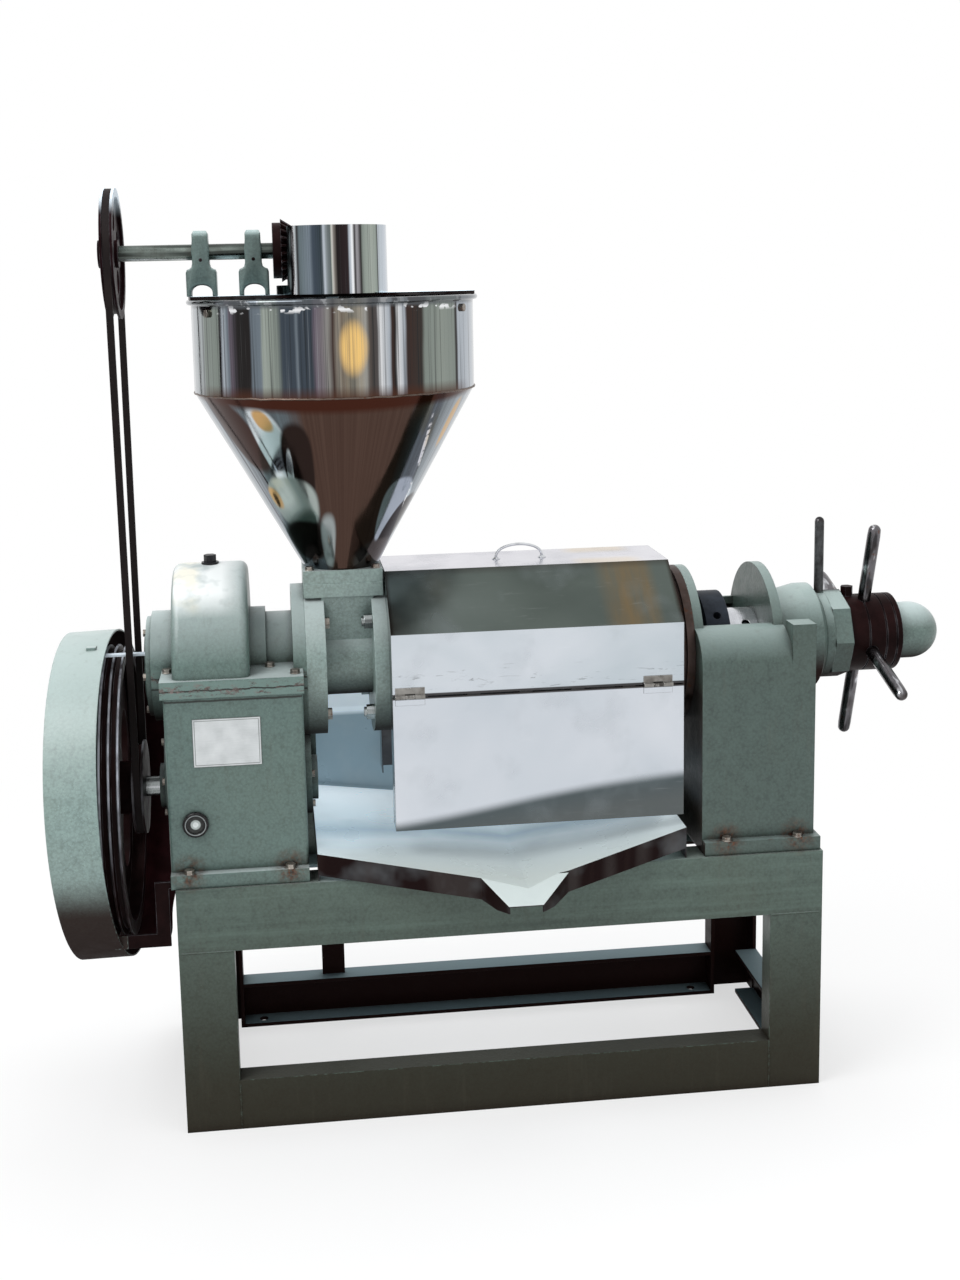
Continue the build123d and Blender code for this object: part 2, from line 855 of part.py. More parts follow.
plate_left = box_left + plate_from_left
with BuildPart() as nameplate:
    block(
        plate_left,
        plate_left + plate_length,
        front_face - plate_thickness,
        front_face,
        plate_bottom,
        plate_bottom + plate_height,
    )
    rivet_inset = 3 * rivet_radius
    for x in (plate_left + rivet_inset, plate_left + plate_length - rivet_inset):
        for z in (plate_bottom + rivet_inset, plate_bottom + plate_height - rivet_inset):
            with BuildSketch(
                Plane(origin=(x, front_face - plate_thickness, z), x_dir=(1, 0, 0), z_dir=(0, -1, 0))
            ):
                Circle(rivet_radius)
            extrude(amount=plate_thickness)
finish(nameplate, "nameplate")

# Bearings of the three gearbox shafts, and the oil seals
with BuildPart() as main_bearings:
    left_end = box_left - left_boss_reach
    ring(left_end, left_end + bearing_width, bearing_radius, main_journal_radius + running_gap)
    ring(
        hump_right - hump_wall,
        hump_right - hump_wall + bearing_width,
        bearing_radius,
        main_shaft_radius + running_gap,
    )
finish(main_bearings, "main_bearings")

with BuildPart() as side_bearings:
    for (y, z), bore in zip(side_lines, (input_shaft_radius, middle_shaft_radius)):
        ring(box_left, box_left + side_bearing_width, side_bearing_radius, bore + running_gap, y, z)
        ring(box_right - side_bearing_width, box_right, side_bearing_radius, bore + running_gap, y, z)
finish(side_bearings, "side_bearings")

with BuildPart() as oil_seals:
    ring(box_flange_right - seal_width, box_flange_right, bearing_radius, main_shaft_radius + running_gap)
    ring(box_flange_left, box_flange_left + seal_width / 2, bearing_radius, main_shaft_radius + running_gap)
finish(oil_seals, "oil_seals")

# Gear train: the pinions and gears stand in mesh at rest
slow_left = hump_left + hump_wall + gear_stagger
fast_left = slow_left + slow_width + gear_stagger
to_middle = degrees(atan2(middle_height - input_height, middle_y))
to_main = degrees(atan2(axis_height - middle_height, -middle_y))
gear_bore = middle_shaft_radius + running_gap
with BuildPart() as middle_gear:
    phase = to_middle + 180.0 + 180.0 / fast_gear_teeth
    spur_gear(fast_left, fast_left + fast_width, fast_gear_teeth, fast_module, phase, middle_y, middle_height)
    disc(
        fast_left - overrun,
        fast_left + fast_width + overrun,
        gear_bore,
        middle_y,
        middle_height,
        Mode.SUBTRACT,
    )
finish(middle_gear, "middle_gear")

with BuildPart() as main_gear:
    phase = to_main + 180.0 + 180.0 / slow_gear_teeth
    spur_gear(slow_left, slow_left + slow_width, slow_gear_teeth, slow_module, phase, 0, axis_height)
    bore = main_shaft_radius + running_gap
    disc(slow_left - overrun, slow_left + slow_width + overrun, bore, mode=Mode.SUBTRACT)
    web_depth = slow_width / 3
    rim_inner = slow_gear_teeth * slow_module / 2 - slow_width / 3
    for x in (slow_left - overrun, slow_left + slow_width - web_depth):
        ring(x, x + web_depth + overrun, rim_inner, 2 * main_shaft_radius, mode=Mode.SUBTRACT)
finish(main_gear, "main_gear")

# Shafts
with BuildPart() as input_shaft:
    disc(pulley_left - shaft_stub, box_right - hole_gap, input_shaft_radius, 0, input_height)
    chamfer(input_shaft.edges().filter_by(GeomType.CIRCLE), length=shaft_chamfer)
    spur_gear(fast_left, fast_left + fast_width, fast_pinion_teeth, fast_module, to_middle, 0, input_height)
finish(input_shaft, "input_shaft")

with BuildPart() as middle_shaft:
    disc(box_left + hole_gap, box_right - hole_gap, middle_shaft_radius, middle_y, middle_height)
    spur_gear(
        slow_left, slow_left + slow_width, slow_pinion_teeth, slow_module, to_main, middle_y, middle_height
    )
finish(middle_shaft, "middle_shaft")

choke_left = right_wall_from + right_wall
choke_right = choke_left + choke_length
nut_left = choke_right + lock_width + nut_gap
cap_left = nut_left + nut_width
shaft_end = cap_left + cap_length - cap_radius
with BuildPart() as main_shaft:
    disc(cap_outer + end_cap_thickness + hole_gap, slow_left, main_journal_radius)
    disc(slow_left, shaft_end - shaft_end_gap, main_shaft_radius)
finish(main_shaft, "main_shaft")

# Worm: a tube on the main shaft with a helical flight, from the feed barrel through the cage
worm_left = barrel_left + seat_gap
worm_right = cage_end - end_ring_width / 2
flight_start = Vector(worm_left + flight_thickness / 2, 0, axis_height)
flight_inner = main_shaft_radius + worm_tube / 2
with BuildPart() as press_worm:
    ring(worm_left, worm_right, main_shaft_radius + worm_tube, main_shaft_radius + running_gap)
    with BuildLine() as flight_path:
        Helix(
            pitch=worm_pitch,
            height=worm_right - worm_left - flight_thickness,
            radius=(worm_radius + flight_inner) / 2,
            center=tuple(flight_start),
            direction=(1, 0, 0),
        )
    start = flight_path.line @ 0
    with BuildSketch(Plane(origin=start, x_dir=start - flight_start, z_dir=flight_path.line % 0)):
        Rectangle(worm_radius - flight_inner, flight_thickness)
    sweep(is_frenet=True)
finish(press_worm, "press_worm")


# Pulleys and the top wheel
def vee_groove(x, radius, half, depth, foot_share, y, z):
    """Cuts one belt groove into a rim."""
    foot = half * foot_share
    outer = radius + overrun
    points = [(x - half, outer), (x + half, outer), (x + half, radius), (x + foot, radius - depth)]
    points += [(x - foot, radius - depth), (x - half, radius)]
    turned(points, y, z, Mode.SUBTRACT)


def wheel_blank(x0, x1, radius, rim, web, hub, y, z):
    """Rim, web and hub of a cast wheel."""
    centre = (x0 + x1) / 2
    ring(x0, x1, radius, radius - rim, y, z)
    disc(centre - web / 2, centre + web / 2, radius - rim / 2, y, z)
    disc(x0, x1, hub, y, z)


def round_windows(x0, x1, count, radius, circle, y, z):
    """Round windows through a web."""
    for n in range(count):
        angle = radians(360.0 * n / count + 90.0)
        disc(x0, x1, radius, y + circle * cos(angle), z + circle * sin(angle), Mode.SUBTRACT)


with BuildPart() as drive_pulley:
    wheel_blank(
        pulley_left, pulley_right, pulley_radius, pulley_rim, pulley_web, pulley_hub_radius, 0, input_height
    )
    pulley_centre = (pulley_left + pulley_right) / 2
    for n in range(groove_count):
        x = pulley_centre + (n - (groove_count - 1) / 2) * groove_pitch
        vee_groove(x, pulley_radius, groove_half, groove_depth, groove_foot_share, 0, input_height)
    window_circle = (pulley_radius - pulley_rim + pulley_hub_radius) / 2
    window_radius = (pulley_radius - pulley_rim - pulley_hub_radius) / 3
    round_windows(pulley_left, pulley_right, wheel_windows, window_radius, window_circle, 0, input_height)
    bore = input_shaft_radius + running_gap
    disc(pulley_left - overrun, pulley_right + overrun, bore, 0, input_height, Mode.SUBTRACT)
finish(drive_pulley, "drive_pulley")

belt_groove_half = belt_width / 2 + hole_gap
belt_groove_depth = belt_height + belt_sink + hole_gap
with BuildPart() as feeder_pulley:
    left, right = small_pulley_x - small_pulley_width / 2, small_pulley_x + small_pulley_width / 2
    disc(left, right, small_pulley_radius, 0, input_height)
    vee_groove(
        small_pulley_x,
        small_pulley_radius,
        belt_groove_half,
        belt_groove_depth,
        1.0,
        0,
        input_height,
    )
    disc(left - overrun, right + overrun, input_shaft_radius + running_gap, 0, input_height, Mode.SUBTRACT)
finish(feeder_pulley, "feeder_pulley")

wheel_left = small_pulley_x - wheel_width / 2
wheel_right = small_pulley_x + wheel_width / 2
hub_left = wheel_left - wheel_hub_reach
with BuildPart() as top_wheel:
    wheel_blank(
        wheel_left, wheel_right, wheel_radius, wheel_rim, wheel_web, wheel_hub_radius, 0, feeder_height
    )
    disc(hub_left, wheel_left, wheel_hub_radius, 0, feeder_height)
    vee_groove(
        small_pulley_x,
        wheel_radius,
        belt_groove_half,
        belt_groove_depth,
        1.0,
        0,
        feeder_height,
    )
    round_windows(
        wheel_left, wheel_right, wheel_windows, wheel_window_radius, wheel_window_circle, 0, feeder_height
    )
    bore = feeder_shaft_radius + running_gap
    disc(hub_left - overrun, wheel_right + overrun, bore, 0, feeder_height, Mode.SUBTRACT)
finish(top_wheel, "top_wheel")

# Feeder belt: a loop round the small pulley and the top wheel


def belt_loop(low, high, width, mode=Mode.ADD):
    """Disc bounded by an open belt line round two circles, along X."""
    lean = (low - high) / (feeder_height - input_height)
    flat = sqrt(1 - lean**2)
    low_y, low_z = low * flat, input_height + low * lean
    high_y, high_z = high * flat, feeder_height + high * lean
    with BuildSketch(plane_x(small_pulley_x - width / 2, 0, 0)) as face:
        with BuildLine():
            Line((low_y, low_z), (high_y, high_z))
            ThreePointArc((high_y, high_z), (0, feeder_height + high), (-high_y, high_z))
            Line((-high_y, high_z), (-low_y, low_z))
            ThreePointArc((-low_y, low_z), (0, input_height - low), (low_y, low_z))
        make_face()
    extrude(face.sketch, amount=width, mode=mode)


with BuildPart() as feeder_belt:
    belt_loop(small_pulley_radius - belt_sink, wheel_radius - belt_sink, belt_width)
    low_inner = small_pulley_radius - belt_sink - belt_height
    high_inner = wheel_radius - belt_sink - belt_height
    belt_loop(low_inner, high_inner, belt_width, Mode.SUBTRACT)
finish(feeder_belt, "feeder_belt")

# Belt guard hoop with its two tabs, its strap and its lower bar
yaw, tilt = radians(guard_yaw), radians(guard_tilt)
guard_normal = (cos(yaw) * cos(tilt), -sin(yaw) * cos(tilt), sin(tilt))
guard_plane = Plane(
    origin=(guard_centre_x, 0, guard_centre_z), x_dir=(sin(yaw), cos(yaw), 0), z_dir=guard_normal
)
strap_left = guard_centre_x + guard_tab / 2
bar_left = guard_centre_x + guard_width / 2 + overrun
with BuildPart() as belt_guard:
    with BuildSketch(guard_plane):
        Circle(guard_radius)
    extrude(amount=guard_width / 2, both=True)
    block(
        guard_centre_x - guard_tab / 2,
        strap_left,
        strap_y - strap_width / 2,
        strap_y + strap_width / 2,
        strap_height - strap_thickness,
        strap_height + guard_tab,
    )
    with BuildSketch(guard_plane) as hollow:
        Circle(guard_radius - guard_sheet)
    tab_low = bar_height - bar_width / 2
    extrude(hollow.sketch, amount=guard_width / 2 + overrun, both=True, mode=Mode.SUBTRACT)
    block(
        guard_centre_x - guard_tab / 2,
        strap_left,
        strap_y - strap_width / 2,
        strap_y + strap_width / 2,
        strap_height - strap_thickness,
        strap_height + guard_tab / 2,
    )
    block(
        bar_left - guard_tab_depth,
        bar_left,
        bar_front,
        bar_front + bar_thickness,
        tab_low,
        tab_low + bar_width,
    )
finish(belt_guard, "belt_guard")

with BuildPart() as guard_supports:
    block(
        strap_left,
        cap_outer,
        strap_y - strap_width / 2,
        strap_y + strap_width / 2,
        strap_height - strap_thickness / 2,
        strap_height + strap_thickness / 2,
    )
    bar_right = box_left - bar_thickness
    bar_back = bar_front + bar_thickness
    block(bar_left, bar_right, bar_front, bar_back, bar_height - bar_width / 2, bar_height + bar_width / 2)
    block(
        bar_right - bar_width,
        bar_right,
        bar_front,
        bar_back,
        bar_height - bar_width / 2,
        base_top - bar_width / 2,
    )
    block(
        bar_right - bar_width,
        box_left,
        bar_front,
        bar_back,
        base_top - bar_width,
        base_top - bar_width / 2,
    )
finish(guard_supports, "guard_supports")

# Feed casting: two flanges, barrel, throat and its square plate
neck_bottom = throat_top - throat_plate - throat_depth
plate_half = throat_size / 2
tie_turns = [360.0 * (n + 0.5) / flange_bolt_count for n in range(flange_bolt_count)]
tie_spots = [(tie_circle * cos(radians(t)), axis_height + tie_circle * sin(radians(t))) for t in tie_turns]
plate_bolt_offset = plate_half - plate_bolt_inset
plate_bolt_spots = [
    (hopper_x + side * plate_bolt_offset, end * plate_bolt_offset) for side in (-1, 1) for end in (-1, 1)
]
with BuildPart() as feed_casting:
    disc(feed_left, barrel_left, flange_radius)
    disc(barrel_left, barrel_right, barrel_radius)
    disc(barrel_right, feed_right, flange_radius)
    block(
        hopper_x - plate_half,
        hopper_x + plate_half,
        -plate_half,
        plate_half,
        throat_top - throat_plate,
        throat_top,
    )
    neck_left = barrel_left - overrun
    with BuildSketch(plane_x(neck_left, 0, 0)) as neck:
        with BuildLine():
            Polyline(
                (-throat_neck / 2, neck_bottom),
                (throat_neck / 2, neck_bottom),
                (plate_half, throat_top - throat_plate / 2),
                (-plate_half, throat_top - throat_plate / 2),
                close=True,
            )
        make_face()
    extrude(neck.sketch, amount=barrel_length + 2 * overrun)
    disc(feed_left - overrun, feed_right + overrun, main_shaft_radius + hole_gap, mode=Mode.SUBTRACT)
    disc(barrel_left, feed_right + overrun, bore_radius, mode=Mode.SUBTRACT)
    disc(
        feed_right - bar_seat,
        feed_right + overrun,
        cage_inner_radius + cage_bar_height + seat_gap,
        mode=Mode.SUBTRACT,
    )
    upright(axis_height, throat_top + overrun, throat_bore, hopper_x, 0, Mode.SUBTRACT)
    for y, z in flange_bolt_spots:
        disc(feed_left - overrun, barrel_left + overrun, flange_bolt_radius + hole_gap, y, z, Mode.SUBTRACT)
    for y, z in tie_spots:
        disc(barrel_right - overrun, feed_right + overrun, tie_radius + hole_gap, y, z, Mode.SUBTRACT)
    for x, y in plate_bolt_spots:
        hole_bottom = throat_top - throat_plate / 2
        upright(hole_bottom, throat_top + overrun, plate_bolt_radius + hole_gap, x, y, Mode.SUBTRACT)
finish(feed_casting, "feed_casting")

with BuildPart() as flange_bolts:
    for y, z in flange_bolt_spots:
        bolt_along(box_flange_left + overrun, barrel_left, y, z, flange_bolt_radius)
    for x, y in plate_bolt_spots:
        bolt_down(x, y, hopper_plate_top, throat_top - throat_plate / 2, plate_bolt_radius, nut=False)
finish(flange_bolts, "flange_bolts")

# Press cage: bars, clamp rings, end ring and tie rods
bars_left = feed_right - bar_seat
bar_step = 360.0 / cage_bar_count
with BuildPart() as cage_bars:
    middle = cage_inner_radius + cage_bar_height / 2
    for n in range(cage_bar_count):
        angle = bar_step * n
        plane = Plane(
            origin=(bars_left, middle * cos(radians(angle)), axis_height + middle * sin(radians(angle))),
            x_dir=(0, cos(radians(angle)), sin(radians(angle))),
            z_dir=(1, 0, 0),
        )
        with BuildSketch(plane) as bar_face:
            Rectangle(cage_bar_height, 2 * cage_inner_radius * sin(radians(bar_step / 2)) * cage_bar_fill)
        extrude(bar_face.sketch, amount=worm_right - bars_left)
finish(cage_bars, "cage_bars")

bars_outer = hypot(
    cage_inner_radius + cage_bar_height,
    cage_inner_radius * sin(radians(bar_step / 2)) * cage_bar_fill,
)
rings_from, rings_to = feed_right, cage_end - end_ring_width
with BuildPart() as cage_rings:
    step = (rings_to - rings_from) / cage_ring_count
    for n in range(cage_ring_count):
        x = rings_from + step * (n + 0.5)
        ring(x - cage_ring_width / 2, x + cage_ring_width / 2, cage_ring_radius, bars_outer)
finish(cage_rings, "cage_rings")

with BuildPart() as cage_end_ring:
    disc(rings_to, cage_end, end_ring_radius)
    disc(cage_end, support_left, end_flange_radius)
    disc(rings_to - overrun, worm_right, bars_outer, mode=Mode.SUBTRACT)
    disc(worm_right - overrun, support_left + overrun, cage_inner_radius, mode=Mode.SUBTRACT)
    disc(cage_end, support_left + overrun, outlet_radius, mode=Mode.SUBTRACT)
    for y, z in tie_spots:
        disc(rings_to - overrun, cage_end - overrun, tie_radius + hole_gap, y, z, Mode.SUBTRACT)
finish(cage_end_ring, "cage_end_ring")

with BuildPart() as tie_rods:
    for y, z in tie_spots:
        disc(barrel_right - tie_nut_length - overrun, cage_end - overrun, tie_radius, y, z)
        for x in (barrel_right - tie_nut_length, rings_to - tie_nut_length):
            with BuildSketch(plane_x(x, y, z)) as nut_face:
                RegularPolygon(tie_nut_radius, hex_sides)
            extrude(nut_face.sketch, amount=tie_nut_length)
finish(tie_rods, "tie_rods")

# Hopper: foot plate, sheet body with rim bead, band bolts and bridge
cone_run = band_radius - cone_foot_radius
cone_rise = band_bottom - hopper_plate_top
cone_sheet = hopper_sheet * hypot(cone_run, cone_rise) / cone_rise
inner_band = band_radius - hopper_sheet
with BuildPart() as hopper_foot_plate:
    block(
        hopper_x - plate_half,
        hopper_x + plate_half,
        -plate_half,
        plate_half,
        throat_top,
        hopper_plate_top,
    )
    upright(throat_top - overrun, hopper_plate_top + overrun, throat_bore, hopper_x, 0, Mode.SUBTRACT)
    for x, y in plate_bolt_spots:
        upright(
            throat_top - overrun,
            hopper_plate_top + overrun,
            plate_bolt_radius + hole_gap,
            x,
            y,
            Mode.SUBTRACT,
        )
finish(hopper_foot_plate, "hopper_foot_plate")


def band_bar(r0, r1, radius, mode=Mode.ADD):
    """Radial round bars at the band bolts."""
    for turn in (band_bolt_turn, 180 - band_bolt_turn, 180 + band_bolt_turn, 360 - band_bolt_turn):
        away = Vector(cos(radians(turn)), sin(radians(turn)), 0)
        spot = Vector(hopper_x, 0, band_bolt_height) + away * r0
        with BuildSketch(Plane(origin=spot, x_dir=(0, 0, 1), z_dir=away)) as face:
            Circle(radius)
        extrude(face.sketch, amount=r1 - r0, mode=mode)


with BuildPart() as hopper_body:
    profile_plane = Plane(origin=(hopper_x, 0, 0), x_dir=(1, 0, 0), z_dir=(0, -1, 0))
    with BuildSketch(profile_plane) as profile:
        with BuildLine():
            Polyline(
                (cone_foot_radius, hopper_plate_top),
                (band_radius, band_bottom),
                (band_radius, hopper_top),
                (inner_band, hopper_top),
                (inner_band, band_bottom + (cone_sheet - hopper_sheet) * cone_rise / cone_run),
                (cone_foot_radius - cone_sheet, hopper_plate_top),
                close=True,
            )
        make_face()
        with Locations((rim_radius - rim_bead, hopper_top - rim_bead)):
            Circle(rim_bead)
        with Locations((inner_band - rim_bead, hopper_top - rim_bead)):
            Rectangle(2 * rim_bead, 3 * rim_bead, mode=Mode.SUBTRACT)
    revolve(profile.sketch, axis=Axis((hopper_x, 0, 0), (0, 0, 1)))
    band_bar(band_radius - 2 * overrun, band_radius + overrun, screw_radius + hole_gap, Mode.SUBTRACT)
finish(hopper_body, "hopper_body")

with BuildPart() as hopper_bolts:
    band_bar(band_radius - 2 * hopper_sheet, band_radius + band_bolt_head, screw_radius)
    band_bar(band_radius + running_gap, band_radius + band_bolt_head, hex_share * screw_radius)
finish(hopper_bolts, "hopper_bolts")

gear_bottom = feeder_height - bevel_pinion_teeth * bevel_module / 2 - bevel_back
with BuildPart() as hopper_bridge:
    with BuildSketch(Plane(origin=(hopper_x, 0, hopper_top))) as deck:
        Circle(rim_radius - rim_bead)
        Rectangle(2 * rim_radius, bridge_width, mode=Mode.INTERSECT)
    extrude(deck.sketch, amount=bridge_thickness)
    upright(bridge_top, gear_bottom - seat_gap, stirrer_boss_radius, hopper_x, 0)
    upright(
        hopper_top - overrun, gear_bottom + overrun, stirrer_radius + running_gap, hopper_x, 0, Mode.SUBTRACT
    )
finish(hopper_bridge, "hopper_bridge")

# Feeder shaft, its two cast brackets, bevel pair, gear cover and stirrer
cone_distance = hypot(bevel_pinion_teeth, bevel_gear_teeth) * bevel_module / 2
small_share = 1 - bevel_face / cone_distance
pinion_pitch = bevel_pinion_teeth * bevel_module / 2
gear_pitch = bevel_gear_teeth * bevel_module / 2
pinion_large = hopper_x - gear_pitch
pinion_small = hopper_x - gear_pitch * small_share
bracket_top_shoulder = bridge_top + bracket_foot_height - bracket_shoulder
with BuildPart() as feeder_brackets:
    for x in bracket_places:
        half_foot, half_body = bracket_foot_length / 2, bracket_body_length / 2
        with BuildSketch(plane_front(-bracket_depth / 2)) as bracket_face:
            with BuildLine():
                Polyline(
                    (x - half_foot, bridge_top),
                    (x + half_foot, bridge_top),
                    (x + half_foot, bracket_top_shoulder),
                    (x + half_body, bracket_top_shoulder + bracket_shoulder),
                    (x + half_body, bracket_body_top),
                    (x - half_body, bracket_body_top),
                    (x - half_body, bracket_top_shoulder + bracket_shoulder),
                    (x - half_foot, bracket_top_shoulder),
                    close=True,
                )
            make_face()
            with Locations((x, bridge_top)):
                Rectangle(bracket_window_length, 2 * bracket_window_height, mode=Mode.SUBTRACT)
        extrude(bracket_face.sketch, amount=-bracket_depth)
        bore = feeder_shaft_radius + running_gap
        disc(x - half_foot, x + half_foot, bore, 0, feeder_height, Mode.SUBTRACT)
    fillet(feeder_brackets.faces().group_by(Axis.Z)[-1].edges().filter_by(Axis.X), radius=bracket_round)
finish(feeder_brackets, "feeder_brackets")

with BuildPart() as feeder_shaft:
    disc(hub_left, pinion_small, feeder_shaft_radius, 0, feeder_height)
finish(feeder_shaft, "feeder_shaft")

bevel_planes = (
    plane_x(pinion_large, 0, feeder_height),
    plane_x(pinion_small, 0, feeder_height),
)
pinion_slope = cone_distance / gear_pitch
gear_slope = cone_distance / pinion_pitch
with BuildPart() as bevel_pinion:
    for plane, size in zip(bevel_planes, (1.0, small_share)):
        with BuildSketch(plane):
            with BuildLine():
                Polyline(
                    *tooth_outline(
                        bevel_pinion_teeth,
                        pinion_pitch * size,
                        bevel_module * size,
                        -90.0,
                        bevel_add_share * pinion_slope,
                        bevel_ded_share * pinion_slope,
                    ),
                    close=True,
                )
            make_face()
    loft(ruled=True)
    disc(pinion_large - bevel_back, pinion_large, pinion_pitch - bevel_module / 2, 0, feeder_height)
    bore = feeder_shaft_radius + running_gap
    disc(pinion_large - bevel_back - overrun, pinion_small + overrun, bore, 0, feeder_height, Mode.SUBTRACT)
finish(bevel_pinion, "bevel_pinion")

gear_large = feeder_height - pinion_pitch
gear_small = feeder_height - pinion_pitch * small_share
gear_root = gear_pitch - bevel_ded_share * gear_slope * bevel_module
with BuildPart() as bevel_gear:
    for z, size in ((gear_large, 1.0), (gear_small, small_share)):
        with BuildSketch(Plane(origin=(hopper_x, 0, z))):
            with BuildLine():
                Polyline(
                    *tooth_outline(
                        bevel_gear_teeth,
                        gear_pitch * size,
                        bevel_module * size,
                        180.0 + 180.0 / bevel_gear_teeth,
                        bevel_add_share * gear_slope,
                        bevel_ded_share * gear_slope,
                    ),
                    close=True,
                )
            make_face()
    loft(ruled=True)
    upright(gear_bottom, gear_large, gear_root, hopper_x, 0)
    with BuildSketch(Plane(origin=(hopper_x, 0, gear_bottom - overrun))) as trim:
        Circle(gear_pitch + 2 * bevel_back)
        Circle(gear_pitch - seat_gap, mode=Mode.SUBTRACT)
    extrude(trim.sketch, amount=gear_small - gear_bottom + 2 * overrun, mode=Mode.SUBTRACT)
    bore = stirrer_radius + running_gap
    upright(gear_bottom - overrun, gear_small + overrun, bore, hopper_x, 0, Mode.SUBTRACT)
finish(bevel_gear, "bevel_gear")

with BuildPart() as stirrer:
    upright(stirrer_bottom, stirrer_top, stirrer_radius, hopper_x, 0)
    for n, (drop, reach) in enumerate(paddle_drops_and_reaches):
        turn = radians(180.0 * n / len(paddle_drops_and_reaches))
        away = Vector(cos(turn), sin(turn), 0)
        with BuildSketch(
            Plane(origin=Vector(hopper_x, 0, hopper_top - drop) - away * reach, x_dir=(0, 0, 1), z_dir=away)
        ) as bar_face:
            Circle(paddle_radius)
        extrude(bar_face.sketch, amount=2 * reach)
finish(stirrer, "stirrer")

with BuildPart() as gear_cover:
    upright(bridge_top, gear_cover_top, gear_cover_radius, hopper_x, 0)
    inner = gear_cover_radius - gear_cover_sheet
    upright(bridge_top - overrun, gear_cover_top - gear_cover_sheet, inner, hopper_x, 0, Mode.SUBTRACT)
    block(
        hopper_x - gear_cover_radius - overrun,
        pinion_small + overrun,
        -slot_half,
        slot_half,
        feeder_height - slot_half,
        gear_cover_top + overrun,
        Mode.SUBTRACT,
    )
finish(gear_cover, "gear_cover")

# Cage cover: folded sheet with two end plates cut out over the feed flange and the end ring
door_top = hinge_height - door_gap


def cover_section(inset, x0, x1, bottom, mode=Mode.ADD):
    """Folded section of the cage cover, drawn in by the sheet thickness for the inside."""
    half, top_half = cover_half_width - inset, cover_top_half - inset / 2
    with BuildSketch(plane_x(x0, 0, 0)) as face:
        with BuildLine():
            Polyline(
                (-half, bottom),
                (-half, cover_crease - inset / 2),
                (-top_half, cover_top - inset),
                (top_half, cover_top - inset),
                (half, cover_crease - inset / 2),
                (half, bottom),
                close=True,
            )
        make_face()
    extrude(face.sketch, amount=x1 - x0, mode=mode)


with BuildPart() as cage_cover:
    cover_section(0, cover_left, cover_right, door_bottom)
    cover_section(
        cover_sheet, cover_left + cover_sheet, cover_right - cover_sheet, door_bottom - overrun, Mode.SUBTRACT
    )
    block(
        cover_left - overrun,
        cover_right + overrun,
        -cover_half_width - overrun,
        -cover_half_width + cover_sheet + seat_gap,
        door_bottom - overrun,
        hinge_height,
        Mode.SUBTRACT,
    )
    for x, radius in ((cover_left - overrun, flange_radius), (cover_right - 2 * overrun, end_ring_radius)):
        disc(x, x + 3 * overrun, radius, mode=Mode.SUBTRACT)
        block(x, x + 3 * overrun, -radius, radius, door_bottom - overrun, axis_height, Mode.SUBTRACT)
finish(cage_cover, "cage_cover")

# Hinges: fixed leaves with outer knuckles and pin, the door with its leaves and middle knuckles
hinge_y = -cover_half_width - knuckle_radius - running_gap
leaf_back = -cover_half_width
leaf_front = leaf_back - hinge_sheet
knuckle_half = hinge_length / (2 * knuckle_count)
with BuildPart() as door_hinges:
    for x in hinge_places:
        for side in (-1, 1):
            x0, x1 = sorted((x + side * (knuckle_half + hole_gap), x + side * hinge_length / 2))
            disc(x0, x1, knuckle_radius, hinge_y, hinge_height)
            block(x0, x1, leaf_front, leaf_back, hinge_height, hinge_height + hinge_leaf)
        leaf_from = hinge_height + knuckle_radius + hole_gap
        block(
            x - hinge_length / 2,
            x + hinge_length / 2,
            leaf_front,
            leaf_back,
            leaf_from,
            hinge_height + hinge_leaf,
        )
        disc(x - hinge_length / 2, x + hinge_length / 2, hinge_pin_radius, hinge_y, hinge_height)
finish(door_hinges, "door_hinges")

with BuildPart() as cover_door:
    block(
        cover_left,
        cover_right,
        -cover_half_width,
        -cover_half_width + cover_sheet,
        door_bottom,
        door_top,
    )
    for x in hinge_places:
        x0, x1 = x - knuckle_half, x + knuckle_half
        disc(x0, x1, knuckle_radius, hinge_y, hinge_height)
        block(x0, x1, leaf_front, leaf_back, hinge_height - hinge_leaf, hinge_height)
        leaf_top = hinge_height - knuckle_radius - hole_gap
        half_leaf = hinge_length / 2
        block(x - half_leaf, x + half_leaf, leaf_front, leaf_back, hinge_height - hinge_leaf, leaf_top)
        pin_hole = hinge_pin_radius + running_gap
        disc(x0 - overrun, x1 + overrun, pin_hole, hinge_y, hinge_height, Mode.SUBTRACT)
finish(cover_door, "cover_door")

# Bow handle on the cover
bend = 3 * handle_wire
with BuildPart() as cover_handle:
    x0, x1 = handle_centre - handle_span / 2, handle_centre + handle_span / 2
    rise = cover_top + handle_rise
    with BuildLine(plane_front(0)) as bow:
        Line((x0, cover_top), (x0, rise - bend))
        RadiusArc((x0, rise - bend), (x0 + bend, rise), bend)
        Line((x0 + bend, rise), (x1 - bend, rise))
        RadiusArc((x1 - bend, rise), (x1, rise - bend), bend)
        Line((x1, rise - bend), (x1, cover_top))
    with BuildSketch(Plane(origin=(x0, 0, cover_top))):
        Circle(handle_wire)
    sweep(path=bow.line)
    for x in (x0, x1):
        upright(cover_top, cover_top + handle_foot_height, handle_foot, x, 0)
finish(cover_handle, "cover_handle")

# Oil tray of folded sheet: two sloping floors, a spout and hanging edges
left_fall = (tray_left_height - tray_valley_height) / (tray_valley_x - tray_left)
right_fall = (tray_right_height - tray_valley_height) / (tray_right - tray_valley_x)


def floor_point(x, y):
    """Point on the top of the tray floor."""
    fall = left_fall * (tray_valley_x - x) if x < tray_valley_x else right_fall * (x - tray_valley_x)
    return Vector(x, y, tray_valley_height + fall)


